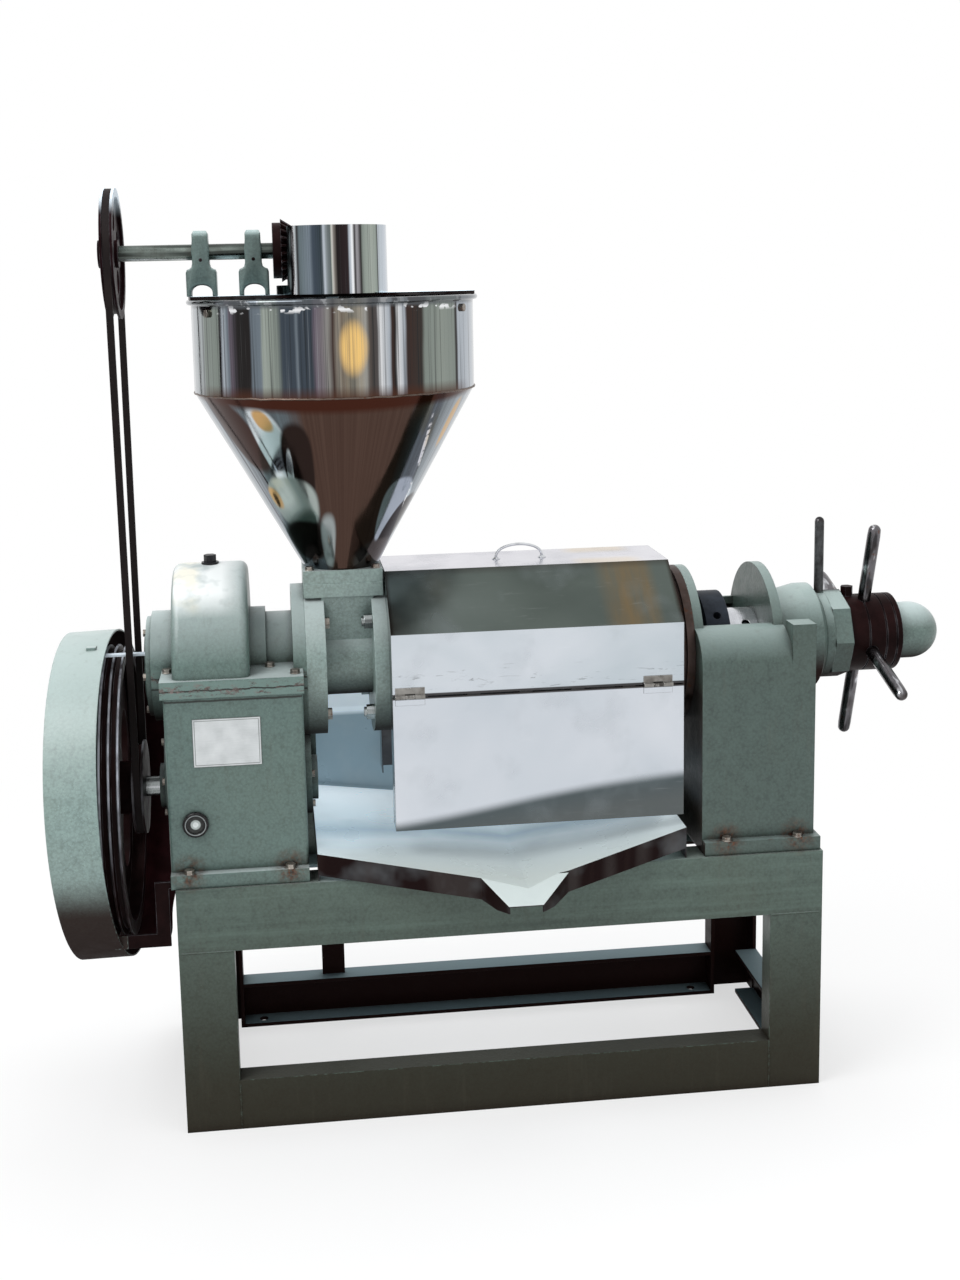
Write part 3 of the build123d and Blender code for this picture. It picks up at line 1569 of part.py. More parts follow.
def floor_section(drop, level, x0, x1):
    """Cuts the band between the floor line, lowered by drop, and a level, across the whole depth."""
    left, right = floor_point(x0, 0).Z - drop, floor_point(x1, 0).Z - drop
    with BuildSketch(plane_front(back_sheet_y + overrun)) as face:
        with BuildLine():
            Polyline(
                (x0, left),
                (tray_valley_x, tray_valley_height - drop),
                (x1, right),
                (x1, level),
                (x0, level),
                close=True,
            )
        make_face()
    extrude(face.sketch, amount=back_sheet_y - spout_tip_y + 2 * overrun, mode=Mode.SUBTRACT)


def spout_section(root_z, tip_z, level):
    """Wedge across the spout between its sloping line and a level."""
    fall = (root_z - tip_z) / (spout_root_y - spout_tip_y)
    beyond = tip_z - fall * overrun
    with BuildSketch(plane_x(spout_root_left, 0, 0)) as face:
        with BuildLine():
            Polyline(
                (spout_root_y, root_z),
                (spout_tip_y - overrun, beyond),
                (spout_tip_y - overrun, level),
                (spout_root_y, level),
                close=True,
            )
        make_face()
    extrude(face.sketch, amount=spout_root_right - spout_root_left, mode=Mode.SUBTRACT)


plan_points = (
    (tray_left, back_sheet_y),
    (tray_left, tray_front),
    (spout_root_left, spout_root_y),
    (spout_tip_left, spout_tip_y),
    (spout_tip_right, spout_tip_y),
    (spout_root_right, spout_root_y),
    (tray_right, tray_front),
    (tray_right, back_sheet_y),
)
apron_bottom = tray_valley_height - tray_apron
over_tray = tray_right_height + overrun
spout_root_height = floor_point(spout_root_left, 0).Z
with BuildPart() as tray_hollow:
    with BuildSketch(Plane(origin=(0, 0, apron_bottom - 2 * overrun))):
        with BuildLine():
            Polyline(*plan_points, close=True)
        make_face()
        offset(amount=-tray_sheet, kind=Kind.INTERSECTION)
        with Locations(((tray_left + tray_right) / 2, back_sheet_y)):
            Rectangle(tray_right - tray_left - 2 * tray_sheet, 4 * overrun)
        with Locations(((spout_tip_left + spout_tip_right) / 2, spout_tip_y)):
            Rectangle(spout_tip_right - spout_tip_left - 2 * tray_sheet, 4 * overrun)
    extrude(amount=over_tray - apron_bottom + 2 * overrun)
    floor_section(tray_sheet, over_tray + overrun, tray_left - overrun, tray_right + overrun)
    spout_section(spout_root_height - tray_sheet, spout_tip_height - tray_sheet, over_tray + overrun)

with BuildPart() as oil_tray:
    with BuildSketch(Plane(origin=(0, 0, apron_bottom - overrun))):
        with BuildLine():
            Polyline(*plan_points, close=True)
        make_face()
    extrude(amount=over_tray - apron_bottom + overrun)
    floor_section(0, over_tray + overrun, tray_left - overrun, tray_right + overrun)
    spout_section(spout_root_height, spout_tip_height, over_tray + overrun)
    add(tray_hollow.part, mode=Mode.SUBTRACT)
    floor_section(tray_apron, apron_bottom - 2 * overrun, tray_left + tray_sheet, tray_right - tray_sheet)
    spout_section(apron_bottom, spout_tip_height - tray_sheet - spout_apron, apron_bottom - 2 * overrun)
    for x0, x1 in (
        (tray_left - overrun, tray_left + tray_sheet), (tray_right - tray_sheet, tray_right + overrun)
    ):
        block(
            x0,
            x1,
            tray_front - overrun,
            back_sheet_y + overrun,
            apron_bottom - 2 * overrun,
            frame_height,
            Mode.SUBTRACT,
        )
finish(oil_tray, "oil_tray")

with BuildPart() as tray_back_sheet:
    with BuildSketch(plane_front(back_sheet_y)) as sheet_face:
        with BuildLine():
            Polyline(
                (tray_left, tray_left_height),
                (tray_valley_x, tray_valley_height),
                (tray_right, tray_right_height),
                (tray_right, back_sheet_top),
                (tray_left, back_sheet_top),
                close=True,
            )
        make_face()
    extrude(sheet_face.sketch, amount=-tray_sheet)
    with BuildSketch(plane_x(tray_left, 0, 0)) as fold:
        with BuildLine():
            Polyline(
                (back_sheet_y, back_sheet_top),
                (back_sheet_y + tray_sheet, back_sheet_top),
                (back_sheet_y + tray_sheet + back_sheet_lean, back_sheet_top + back_sheet_fold),
                (back_sheet_y + back_sheet_lean, back_sheet_top + back_sheet_fold),
                close=True,
            )
        make_face()
    extrude(fold.sketch, amount=tray_right - tray_left)
finish(tray_back_sheet, "tray_back_sheet")

# Cake-end support casting: hollow, open below, with a window between its two arched walls
support_top = support_shoulder + support_round
support_bolt_y = box_half + base_bolt_inset_y


def shouldered(x0, x1, half, z0, z1, corner, mode=Mode.ADD):
    """Block along X with rounded upper shoulders."""
    with BuildSketch(plane_x(x0, 0, (z0 + z1) / 2)) as face:
        Rectangle(2 * half, z1 - z0)
        fillet(face.vertices().group_by(Axis.Y)[-1], radius=corner)
    extrude(face.sketch, amount=x1 - x0, mode=mode)


support_right = support_left + support_length
with BuildPart() as support_casting:
    shouldered(support_left, choke_left, support_half_depth, frame_height, support_top, support_round)
    block(choke_left, support_right, -support_half_depth, support_half_depth, frame_height, support_shoulder)
    base_half = support_half_depth + base_lip_reach
    block(
        support_base_left,
        support_base_right,
        -base_half,
        base_half,
        frame_height,
        frame_height + support_base,
    )
    disc(support_left, support_left + left_wall, arch_radius)
    disc(right_wall_from, choke_left, arch_radius)
    lug_bottom = support_shoulder - overrun
    lug_back = -support_half_depth + lug_depth
    block(choke_left, support_right, -support_half_depth, lug_back, lug_bottom, support_shoulder + lug_height)
    inner_half = support_half_depth - support_wall
    shouldered(
        support_left + left_wall,
        right_wall_from,
        inner_half,
        frame_height - overrun,
        support_top - support_wall,
        support_round - support_wall,
        Mode.SUBTRACT,
    )
    window_half = support_half_depth - support_round
    block(
        support_left + left_wall,
        right_wall_from,
        -window_half,
        window_half,
        axis_height,
        support_top + arch_radius,
        Mode.SUBTRACT,
    )
    block(
        choke_left,
        support_right - support_wall,
        -inner_half,
        inner_half,
        frame_height - overrun,
        support_shoulder - support_wall,
        Mode.SUBTRACT,
    )
    choke_relief = choke_mid_radius + overrun
    disc(choke_left, support_base_right + overrun, choke_relief, mode=Mode.SUBTRACT)
    disc(support_left - overrun, support_left + left_wall + overrun, outlet_radius, mode=Mode.SUBTRACT)
    disc(right_wall_from - overrun, choke_left + overrun, sleeve_radius + running_gap, mode=Mode.SUBTRACT)
    for x in support_bolt_places:
        for side in (-1, 1):
            hole = box_bolt_radius + hole_gap
            upright(frame_height - overrun, base_top + overrun, hole, x, side * support_bolt_y, Mode.SUBTRACT)
finish(support_casting, "support_casting")

with BuildPart() as choke_housing:
    choke_third = choke_length / 3
    turned(
        (
            (choke_left, sleeve_radius + running_gap),
            (choke_left, choke_small_radius),
            (choke_left + choke_third, choke_mid_radius),
            (choke_left + 2 * choke_third, choke_big_radius),
            (choke_right - choke_third / 3, choke_big_radius),
            (choke_right, choke_small_radius),
            (choke_right, sleeve_radius + running_gap),
        )
    )
finish(choke_housing, "choke_housing")

# Sliding choke: cone, collar, sleeve with its cross hole, and the two bushes that carry it on the main shaft
sleeve_right = nut_left + sleeve_in_nut


def radial_hole(x, turn, r0, r1, radius):
    """Round blind hole square to the press axis."""
    away = Vector(0, cos(radians(turn)), sin(radians(turn)))
    with BuildSketch(
        Plane(origin=Vector(x, 0, axis_height) + away * r0, x_dir=(1, 0, 0), z_dir=away)
    ) as face:
        Circle(radius)
    extrude(face.sketch, amount=r1 - r0, mode=Mode.SUBTRACT)


with BuildPart() as choke_sleeve:
    ring(collar_left, sleeve_right, sleeve_radius, sleeve_bore)
    radial_hole(sleeve_hole_x, hole_turn, sleeve_bore - overrun, sleeve_radius + overrun, tommy_radius)
finish(choke_sleeve, "choke_sleeve")

with BuildPart() as choke_cone:
    cone_left = collar_left - choke_cone_length
    turned(
        (
            (cone_left, main_shaft_radius + hole_gap),
            (cone_left, choke_cone_small),
            (collar_left, choke_cone_big),
            (collar_left, main_shaft_radius + hole_gap),
        )
    )
    ring(collar_left, collar_left + collar_width, collar_radius, sleeve_radius)
    collar_middle = collar_left + collar_width / 2
    radial_hole(collar_middle, hole_turn, collar_radius - tommy_depth, collar_radius + overrun, tommy_radius)
finish(choke_cone, "choke_cone")

with BuildPart() as shaft_bushes:
    for x in (collar_left, sleeve_right - bush_width):
        ring(x, x + bush_width, sleeve_bore, main_shaft_radius + running_gap)
finish(shaft_bushes, "shaft_bushes")

# Lock ring with its bar
lock_left = choke_right + seat_gap
lock_right = nut_left - nut_gap
with BuildPart() as lock_ring:
    disc(lock_left, lock_left + lock_hub, choke_small_radius)
    with BuildSketch(plane_x(lock_left + lock_hub)) as lock_face:
        RegularPolygon(lock_radius, lock_sides)
    extrude(lock_face.sketch, amount=lock_right - lock_left - lock_hub)
    bar_x = lock_left + lock_bar_radius + hole_gap
    upright(axis_height + sleeve_radius + overrun, axis_height + lock_bar_tip, lock_bar_radius, bar_x, 0)
    disc(lock_left - overrun, lock_right + overrun, sleeve_radius + running_gap, mode=Mode.SUBTRACT)
finish(lock_ring, "lock_ring")

# Adjusting nut, its handles and its cap
handle_x = nut_left + handle_from_left
handle_root = sleeve_radius + overrun
with BuildPart() as adjusting_nut:
    disc(nut_left, cap_left, nut_radius)
    for x in (nut_left + nut_width / 3, nut_left + 2 * nut_width / 3, cap_left - nut_groove_inset):
        ring(x, x + nut_groove, nut_radius + overrun, nut_radius - nut_groove, mode=Mode.SUBTRACT)
    stub_x = nut_left + stub_radius
    with BuildSketch(Plane(origin=(stub_x, 0, axis_height + nut_radius - overrun))) as stub:
        RegularPolygon(stub_radius, hex_sides)
    extrude(stub.sketch, amount=stub_height)
    disc(nut_left - overrun, cap_left + overrun, main_shaft_radius + 2 * hole_gap, mode=Mode.SUBTRACT)
    disc(nut_left - overrun, nut_left + nut_counterbore, sleeve_radius + running_gap, mode=Mode.SUBTRACT)
    for n in range(handle_count):
        turn = handle_angle + 360.0 * n / handle_count
        radial_hole(handle_x, turn, handle_root, nut_radius + overrun, handle_radius)
finish(adjusting_nut, "adjusting_nut")

with BuildPart() as nut_handles:
    for n in range(handle_count):
        turn = radians(handle_angle + 360.0 * n / handle_count)
        away = Vector(0, cos(turn), sin(turn))
        spot = Vector(handle_x, 0, axis_height) + away * handle_root
        with BuildSketch(Plane(origin=spot, x_dir=(1, 0, 0), z_dir=away)) as handle_face:
            Circle(handle_radius)
        extrude(handle_face.sketch, amount=handle_tip - handle_root)
finish(nut_handles, "nut_handles")

with BuildPart() as end_cap:
    dome_from = cap_left + cap_length - cap_radius
    disc(cap_left, dome_from, cap_radius)
    with Locations((dome_from, 0, axis_height)):
        Sphere(cap_radius)
    disc(cap_left, dome_from, cap_radius - cap_wall, mode=Mode.SUBTRACT)
    with Locations((dome_from, 0, axis_height)):
        Sphere(cap_radius - cap_wall, mode=Mode.SUBTRACT)
    disc(cap_left - cap_length, cap_left, cap_radius + overrun, mode=Mode.SUBTRACT)
finish(end_cap, "end_cap")
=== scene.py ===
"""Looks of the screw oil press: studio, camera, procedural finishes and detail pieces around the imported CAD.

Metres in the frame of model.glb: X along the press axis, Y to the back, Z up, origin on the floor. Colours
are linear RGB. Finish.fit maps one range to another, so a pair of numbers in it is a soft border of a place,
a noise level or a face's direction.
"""

import math

import bpy
from mathutils import Matrix, Vector, noise


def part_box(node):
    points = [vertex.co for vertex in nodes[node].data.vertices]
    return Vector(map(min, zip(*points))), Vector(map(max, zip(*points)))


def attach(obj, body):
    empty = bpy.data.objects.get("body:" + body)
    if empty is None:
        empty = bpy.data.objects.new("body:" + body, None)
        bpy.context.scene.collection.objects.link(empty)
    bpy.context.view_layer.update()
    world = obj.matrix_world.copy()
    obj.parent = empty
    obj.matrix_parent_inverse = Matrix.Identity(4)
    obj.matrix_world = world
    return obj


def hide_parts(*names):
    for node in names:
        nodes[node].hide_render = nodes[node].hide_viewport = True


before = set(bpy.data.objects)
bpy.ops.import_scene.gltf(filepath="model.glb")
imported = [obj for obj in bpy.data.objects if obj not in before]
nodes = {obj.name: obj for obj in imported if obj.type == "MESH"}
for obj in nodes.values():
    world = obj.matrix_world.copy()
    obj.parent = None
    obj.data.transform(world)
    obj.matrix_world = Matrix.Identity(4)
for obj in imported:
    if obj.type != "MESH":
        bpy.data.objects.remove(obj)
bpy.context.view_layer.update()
scene = bpy.context.scene

# Places
AXIS_Z = 0.866  # press axis
DRIVE_Z = 0.620  # axis of the drive pulley
GUARD_Z = 0.614  # middle of the belt guard
POST_TOP_Z = 0.370  # underside of the bed's beams
HOPPER_X = -0.287  # upright axis of the hopper
NUT_X = 0.778  # middle of the adjusting nut's handles
SIGHT = (-0.583, 0.0, 0.608)  # middle of the sight glass
COVER_FOOT_Z, DOOR_TOP_Z = 0.8385, 0.8265
BASE_BOLTS = [(x, y, 0.515) for x in (-0.598, -0.409, 0.436, 0.578) for y in (-0.2136, 0.2136)]

# Hopper: cone below the joint, rolled band with a rim bead above it
CONE_FOOT_R, CONE_FOOT_INNER_R, CONE_SPREAD = 0.074, 0.0712, 0.196
CONE_FOOT_Z, JOINT_Z, CONE_RISE = 1.056, 1.402, 0.346
BAND_R, BAND_INNER_R, BEAD_R, BEAD_Z = 0.270, 0.2675, 0.005, 1.573
FRONT = math.radians(2.3)  # turns the middle of the stripes towards the camera's side

# Tones in use at more than one place
RUST = (0.105, 0.036, 0.014)
GRIME = (0.035, 0.024, 0.018)
INK = (0.008, 0.006, 0.005)
SEAM_DARK = (0.016, 0.010, 0.009)
FOLD_DARK = (0.03, 0.02, 0.016)
# PAINT: the machine's grey-green paint; OUTLET_PAINT: that paint set darker, as painted shade. PALE: painted
# light on upward faces; SHADE_BLACK: the near-black of painted shade.
PAINT = (0.087, 0.134, 0.122)
OUTLET_PAINT = (0.070, 0.104, 0.095)
PALE = (0.34, 0.42, 0.41)
SHADE_BLACK = (0.012, 0.004, 0.004)
# Tones used mostly in the painted reflections on the bright sheet
LILAC = (0.50, 0.55, 0.61)
GREEN_GREY = (0.27, 0.31, 0.28)
SLATE = (0.055, 0.072, 0.095)
BLUE_GREY = (0.19, 0.23, 0.27)
BLACK = (0.018, 0.014, 0.014)
BROWN = (0.055, 0.028, 0.022)
WHITE = (0.92, 0.93, 0.95)
PURPLE = (0.17, 0.14, 0.18)
ORANGE = (0.50, 0.31, 0.13)


# -------- finishes

def scaled(colour, factor, lift=0.0):
    return [min(1.0, c * factor + lift) for c in colour]


class Nodes:
    """Adds nodes to a tree; each input takes a value or another node's output."""

    def __init__(self, tree):
        self.tree = tree

    def put(self, socket, value):
        if isinstance(value, bpy.types.NodeSocket):
            self.tree.links.new(value, socket)
        elif socket.type == "RGBA" and len(value) == 3:
            socket.default_value = (*value, 1.0)
        else:
            socket.default_value = value

    def add(self, kind, values=None, out=0, **settings):
        node = self.tree.nodes.new(kind)
        for key, value in settings.items():
            setattr(node, key, value)
        for key, value in (values or {}).items():
            self.put(node.inputs[key], value)
        return node.outputs[out]


class Finish(Nodes):
    """A procedural material on the Principled shader, drawn in the object's own metres."""

    def __init__(self, name):
        self.material = bpy.data.materials.new(name)
        self.material.use_nodes = True
        super().__init__(self.material.node_tree)
        self.shader = self.tree.nodes["Principled BSDF"]
        self.place = self.add("ShaderNodeTexCoord", out="Object")
        self.facing = self.place.node.outputs["Normal"]
        self.x, self.y, self.z = self.split(self.place)

    def split(self, vector):
        return self.add("ShaderNodeSeparateXYZ", {0: vector}).node.outputs

    def join(self, x=0.0, y=0.0, z=0.0):
        return self.add("ShaderNodeCombineXYZ", {0: x, 1: y, 2: z})

    def math(self, operation, a, b=0.0, c=0.0, clamp=False):
        return self.add("ShaderNodeMath", {0: a, 1: b, 2: c}, operation=operation, use_clamp=clamp)

    def times(self, a, *others, clamp=False):
        for b in others:
            a = self.math("MULTIPLY", a, b, clamp=clamp)
        return a

    def plus(self, a, b):
        return self.math("ADD", a, b)

    def less(self, a, b):
        return self.math("SUBTRACT", a, b)

    def size(self, a):
        return self.math("ABSOLUTE", a)

    def most(self, a, b):
        return self.math("MAXIMUM", a, b)

    def least(self, a, b):
        return self.math("MINIMUM", a, b)

    def power(self, a, divisor, exponent):
        return self.math("POWER", self.size(self.math("DIVIDE", a, divisor)), exponent)

    def distance(self, where, spot):
        return self.add("ShaderNodeVectorMath", {0: where, 1: spot}, out="Value", operation="DISTANCE")

    def fit(self, value, low, high, start=0.0, end=1.0, smooth=False):
        values = {0: value, 1: low, 2: high, 3: start, 4: end}
        return self.add("ShaderNodeMapRange", values, interpolation_type="SMOOTHSTEP" if smooth else "LINEAR")

    def mix(self, share, a, b):
        return self.add("ShaderNodeMix", {0: share, 6: a, 7: b}, out=2, data_type="RGBA")

    def stretch(self, x, y, z):
        return self.add("ShaderNodeVectorMath", {0: self.place, 1: (x, y, z)}, operation="MULTIPLY")

    def noise(self, scale, detail=2.0, rough=0.5, where=None, twist=0.0):
        values = {"Vector": where or self.place, "Scale": scale, "Detail": detail, "Roughness": rough}
        return self.add("ShaderNodeTexNoise", {**values, "Distortion": twist})

    def cells(self, scale):
        values = {"Vector": self.place, "Scale": scale, "Randomness": 1.0}
        return self.add("ShaderNodeTexVoronoi", values, out="Distance", feature="SMOOTH_F1")

    def ramp(self, value, stops):
        out = self.add("ShaderNodeValToRGB", {0: value})
        points = out.node.color_ramp.elements
        for n, (at, colour) in enumerate(stops):
            point = points[n] if n < 2 else points.new(at)
            point.position = at
            point.color = (*colour, 1.0)
        return out

    def near(self, spots, reach):
        """1 at any of the spots, falling to 0 at reach."""
        best = None
        for spot in spots:
            away = self.distance(self.place, spot)
            best = away if best is None else self.least(best, away)
        return self.fit(best, 0.0, reach, 1.0, 0.0)

    def edges(self, radius):
        """1 on outward edges; self.round keeps the rounded normal."""
        self.round = self.add("ShaderNodeBevel", {"Radius": radius}, samples=6)
        flat = self.add("ShaderNodeNewGeometry", out="True Normal")
        pair = {0: self.round, 1: flat}
        same = self.add("ShaderNodeVectorMath", pair, out="Value", operation="DOT_PRODUCT")
        return self.fit(same, 0.995, 0.90)

    def nook(self):
        """1 in tight corners and under things, 0 in the open."""
        open_share = self.add("ShaderNodeAmbientOcclusion", {"Distance": 0.03}, out="AO", samples=4)
        return self.fit(open_share, 0.82, 0.30)

    def outline(self, start):
        """1 where the sheet is seen at a grazing angle; the mirrors darken there as a painted reflection."""
        return self.fit(self.add("ShaderNodeLayerWeight", {"Blend": 0.5}, out="Facing"), start, start + 0.12)

    def bump(self, height, depth, strength=1.0, under=None):
        values = {"Strength": strength, "Distance": depth, "Height": height}
        if under is not None:
            values["Normal"] = under
        return self.add("ShaderNodeBump", values)

    def done(self, colour, rough, metal=0.0, normal=None, **more):
        values = {"Base Color": colour, "Roughness": rough, "Metallic": metal, **more}
        for key, value in values.items():
            self.put(self.shader.inputs[key.replace("_", " ")], value)
        if normal is not None:
            self.put(self.shader.inputs["Normal"], normal)
        return self.material


def split_line(f, colour, base, patch, height):
    """Joint of housing and lid: pale lip, wandering black line, chips, and a line of painted shade under the
    lip.
    """
    wander = f.times(f.less(f.noise(40.0, 4.0, 0.7, f.stretch(1.0, 1.0, 0.2)), 0.5), 0.009)
    away = f.size(f.plus(f.less(f.z, height), wander))
    front = f.fit(f.size(f.split(f.facing)[1]), 0.5, 0.8)
    colour = f.mix(f.times(front, f.fit(away, 0.019, 0.015, 0.0, 0.6)), colour, scaled(base, 1.9))
    colour = f.mix(f.fit(away, 0.0022, 0.0008, 0.0, 0.95), colour, INK)
    # painted shade: dark line under the lip
    below = f.size(f.plus(f.less(f.z, height - 0.0215), f.times(wander, 0.3)))
    colour = f.mix(f.times(front, f.fit(below, 0.0026, 0.0010, 0.0, 0.85)), colour, INK)
    broken = f.fit(f.noise(46.0, 5.0, 0.8, f.stretch(1.0, 1.0, 2.2)), 0.52, 0.60)
    chip = f.mix(f.fit(patch, 0.40, 0.62), (0.050, 0.032, 0.028), (0.21, 0.165, 0.155))
    return f.mix(f.times(f.fit(away, 0.015, 0.008), broken), colour, chip)


def hammered(name, base, pale, low_dark=None, rust_spots=(), lip=None, smooth=1.0, lit=(0.25, 0.95), far=None,
             corner_shade=0.86, dull_far=0.9, drawn=0.0):
    """Hammered paint: dimples, light and dark flecks, wear on edges, painted light, painted shade in corners
    and below.

    pale: tone of upward faces as painted light, between the two levels of lit. low_dark: start, end and tone
    of
    a darker foot, painted shade. lip: height of a split line. smooth: depth of the dimples. far: where(f) and
    tone(f) of another look (painted shade, a painted highlight, the lock bar's steel), and dull_far how matt
    it is.
    soot: share of painted shade in corners. drawn: strength of painted reflection lines on the beams.
    """
    f = Finish(name)
    edge = f.edges(0.0028)
    broad = f.noise(4.0, 3.0, 0.55)
    patch = f.noise(38.0, 4.0, 0.65)
    dimple = f.cells(210.0)
    fleck = f.noise(520.0, 2.0, 0.6)
    warmer = [c * k for c, k in zip(base, (1.12, 0.98, 0.88))]
    colour = f.mix(f.fit(patch, 0.30, 0.72), scaled(base, 0.80), scaled(base, 1.18))
    colour = f.mix(f.fit(broad, 0.42, 0.70, 0.0, 0.45), colour, warmer)
    # painted highlight on the crowns of the dimples
    colour = f.mix(f.fit(dimple, 0.25, 0.75, 0.34, 0.0), colour, scaled(base, 1.9))
    colour = f.mix(f.fit(fleck, 0.63, 0.70, 0.0, 0.5), colour, scaled(base, 2.3))
    colour = f.mix(f.fit(fleck, 0.37, 0.30, 0.0, 0.55), colour, scaled(base, 0.35))
    up = f.split(f.facing)[2]
    # painted light: upward faces turn to the pale tone
    colour = f.mix(f.fit(up, *lit, 0.0, 0.85), colour, pale)
    dull = 0.0
    # painted shade: darker towards the bottom, with less shine
    if low_dark:
        start, end, tone = low_dark
        dull = f.fit(f.z, start, end, 0.0, 0.92, smooth=True)
        colour = f.mix(dull, colour, tone)
    # painted reflections: light and dark lines along the beams
    if drawn:
        lines = f.noise(1.0, 3.0, 0.6, f.stretch(1.6, 1.6, 46.0))
        beams = f.fit(f.z, 0.368, 0.374)
        colour = f.mix(f.times(beams, f.fit(lines, 0.52, 0.68, 0.0, drawn)), colour, scaled(base, 1.9))
        colour = f.mix(f.times(beams, f.fit(lines, 0.46, 0.34, 0.0, drawn)), colour, scaled(base, 0.45))
    streak = f.noise(9.0, 3.0, 0.6, f.stretch(6.0, 6.0, 0.7))
    colour = f.mix(f.fit(streak, 0.58, 0.78, 0.0, 0.22), colour, (0.075, 0.068, 0.052))
    pale_edge_share = f.times(edge, f.fit(f.noise(95.0, 4.0, 0.7), 0.46, 0.60), 0.55)
    colour = f.mix(pale_edge_share, colour, scaled(base, 2.4))
    rusty = f.times(edge, f.fit(f.noise(60.0, 4.0, 0.75), 0.60, 0.68), 0.75)
    if rust_spots:
        spot = f.times(f.near(rust_spots, 0.040), f.fit(f.noise(70.0, 4.0, 0.7), 0.34, 0.62))
        rusty = f.most(rusty, f.times(spot, 1.5, clamp=True))
    if lip is not None:
        colour = split_line(f, colour, base, patch, lip)
    colour = f.mix(rusty, colour, f.mix(f.fit(f.noise(180.0), 0.4, 0.6), RUST, GRIME))
    if far:
        where, tone = far[0](f), far[1](f)
        colour = f.mix(f.times(where, 0.95), colour, tone)
        dull = f.most(dull, f.times(where, dull_far))
    # painted shade: darker in corners (ambient occlusion) and on faces that look down
    painted_shade = f.most(f.times(f.nook(), corner_shade), f.fit(up, -0.15, -0.85, 0.0, 0.93))
    colour = f.mix(painted_shade, colour, (0.013, 0.006, 0.005))
    height = f.plus(f.times(dimple, 1.0), f.times(fleck, 0.35))
    normal = f.bump(height, 0.00055 * smooth, 0.55, f.round)
    normal = f.bump(patch, 0.0012 * smooth, 0.35, normal)
    rough = f.plus(f.fit(patch, 0.3, 0.7, 0.28, 0.43), f.times(f.most(rusty, painted_shade), 0.35))
    shine = f.fit(f.most(painted_shade, dull), 0.0, 0.85, 0.42, 0.03)
    return f.done(colour, rough, 0.0, normal, Specular_IOR_Level=shine)


def steel(name, colour, rough=0.28, turned=None, rust=0.0, dark=0.0, edge_pale=0.25, painted_glints=None):
    """Machined steel: lines across the turned axis, oil stain (dark), rust, pale edges, painted reflection
    streaks (glints).
    """
    f = Finish(name)
    edge = f.edges(0.0012)
    lines = {"x": (900.0, 8.0, 8.0), "z": (8.0, 8.0, 900.0), None: (120.0, 120.0, 120.0)}[turned]
    grain = f.noise(1.0, 3.0, 0.6, f.stretch(*lines))
    cloud = f.noise(26.0, 4.0, 0.65)
    tone = f.mix(f.fit(cloud, 0.3, 0.7), scaled(colour, 0.72), scaled(colour, 1.12))
    tone = f.mix(f.fit(grain, 0.35, 0.65, 0.0, 0.30), tone, scaled(colour, 0.55))
    if painted_glints:
        # painted reflections: dark and white streaks
        streak = f.noise(1.0, 2.0, 0.5, f.stretch(*painted_glints))
        tone = f.mix(f.fit(streak, 0.50, 0.40, 0.0, 0.85), tone, scaled(colour, 0.16))
        tone = f.mix(f.fit(streak, 0.58, 0.66, 0.0, 0.8), tone, (0.86, 0.88, 0.92))
    if dark:
        tone = f.mix(f.fit(f.noise(14.0, 4.0, 0.7), 0.46, 0.66, 0.0, dark), tone, GRIME)
    if rust:
        bare = f.noise(75.0, 5.0, 0.75)
        tone = f.mix(f.fit(bare, 0.62 - 0.2 * rust, 0.74 - 0.2 * rust, 0.0, 0.9), tone, RUST)
    tone = f.mix(f.times(edge, edge_pale), tone, scaled(colour, 1.9, 0.05))
    normal = f.bump(grain, 0.00012, 0.5, f.round)
    return f.done(tone, f.fit(cloud, 0.3, 0.75, rough * 0.75, rough * 1.5), 1.0, normal)


def near_black(name, base=(0.0070, 0.0026, 0.0026), rim_pale=None, lands=(), painted_glints=0.6):
    """Near-black iron, maroon cast: pale edges of wear and painted glint (glints), painted highlights on
    lands, pale above rim_pale.
    """
    f = Finish(name)
    edge = f.edges(0.0016)
    cloud = f.noise(22.0, 4.0, 0.65)
    fine = f.noise(420.0, 3.0, 0.6)
    tone = f.mix(f.fit(cloud, 0.35, 0.68), base, scaled(base, 2.2))
    tone = f.mix(f.fit(fine, 0.62, 0.74, 0.0, 0.25), tone, (0.030, 0.026, 0.028))
    # pale edges: partly wear, partly a painted glint
    pale_edge_share = f.times(edge, f.fit(f.noise(11.0, 4.0, 0.6), 0.45, 0.62, 0.05, painted_glints))
    tone = f.mix(pale_edge_share, tone, (0.30, 0.31, 0.34))
    if lands:
        # painted highlights on the lands, stronger above the axis
        up = f.less(f.z, DRIVE_Z)
        away = f.math("SQRT", f.plus(f.times(up, up), f.times(f.y, f.y)))
        patchy = f.fit(f.noise(5.0, 4.0, 0.65, f.stretch(1.0, 2.0, 1.4)), 0.42, 0.60, 0.06, 0.9)
        patchy = f.times(patchy, f.fit(up, -0.08, 0.06, 0.04, 1.0))
        for radius, half, bright in lands:
            land = f.fit(f.size(f.less(away, radius)), half, half * 0.4)
            tone = f.mix(f.times(land, patchy), tone, bright)
    if rim_pale:
        # pale above a height; on the top wheel this is a painted highlight on the rim
        tone = f.mix(f.fit(f.z, *rim_pale, 0.0, 0.95, smooth=True), tone, (0.62, 0.70, 0.77))
    tone = f.mix(f.fit(f.noise(60.0, 5.0, 0.8), 0.68, 0.78, 0.0, 0.35), tone, (0.045, 0.016, 0.010))
    normal = f.bump(fine, 0.0002, 0.4, f.round)
    return f.done(tone, f.fit(cloud, 0.3, 0.7, 0.304, 0.513), 0.0, normal, Specular_IOR_Level=0.04)
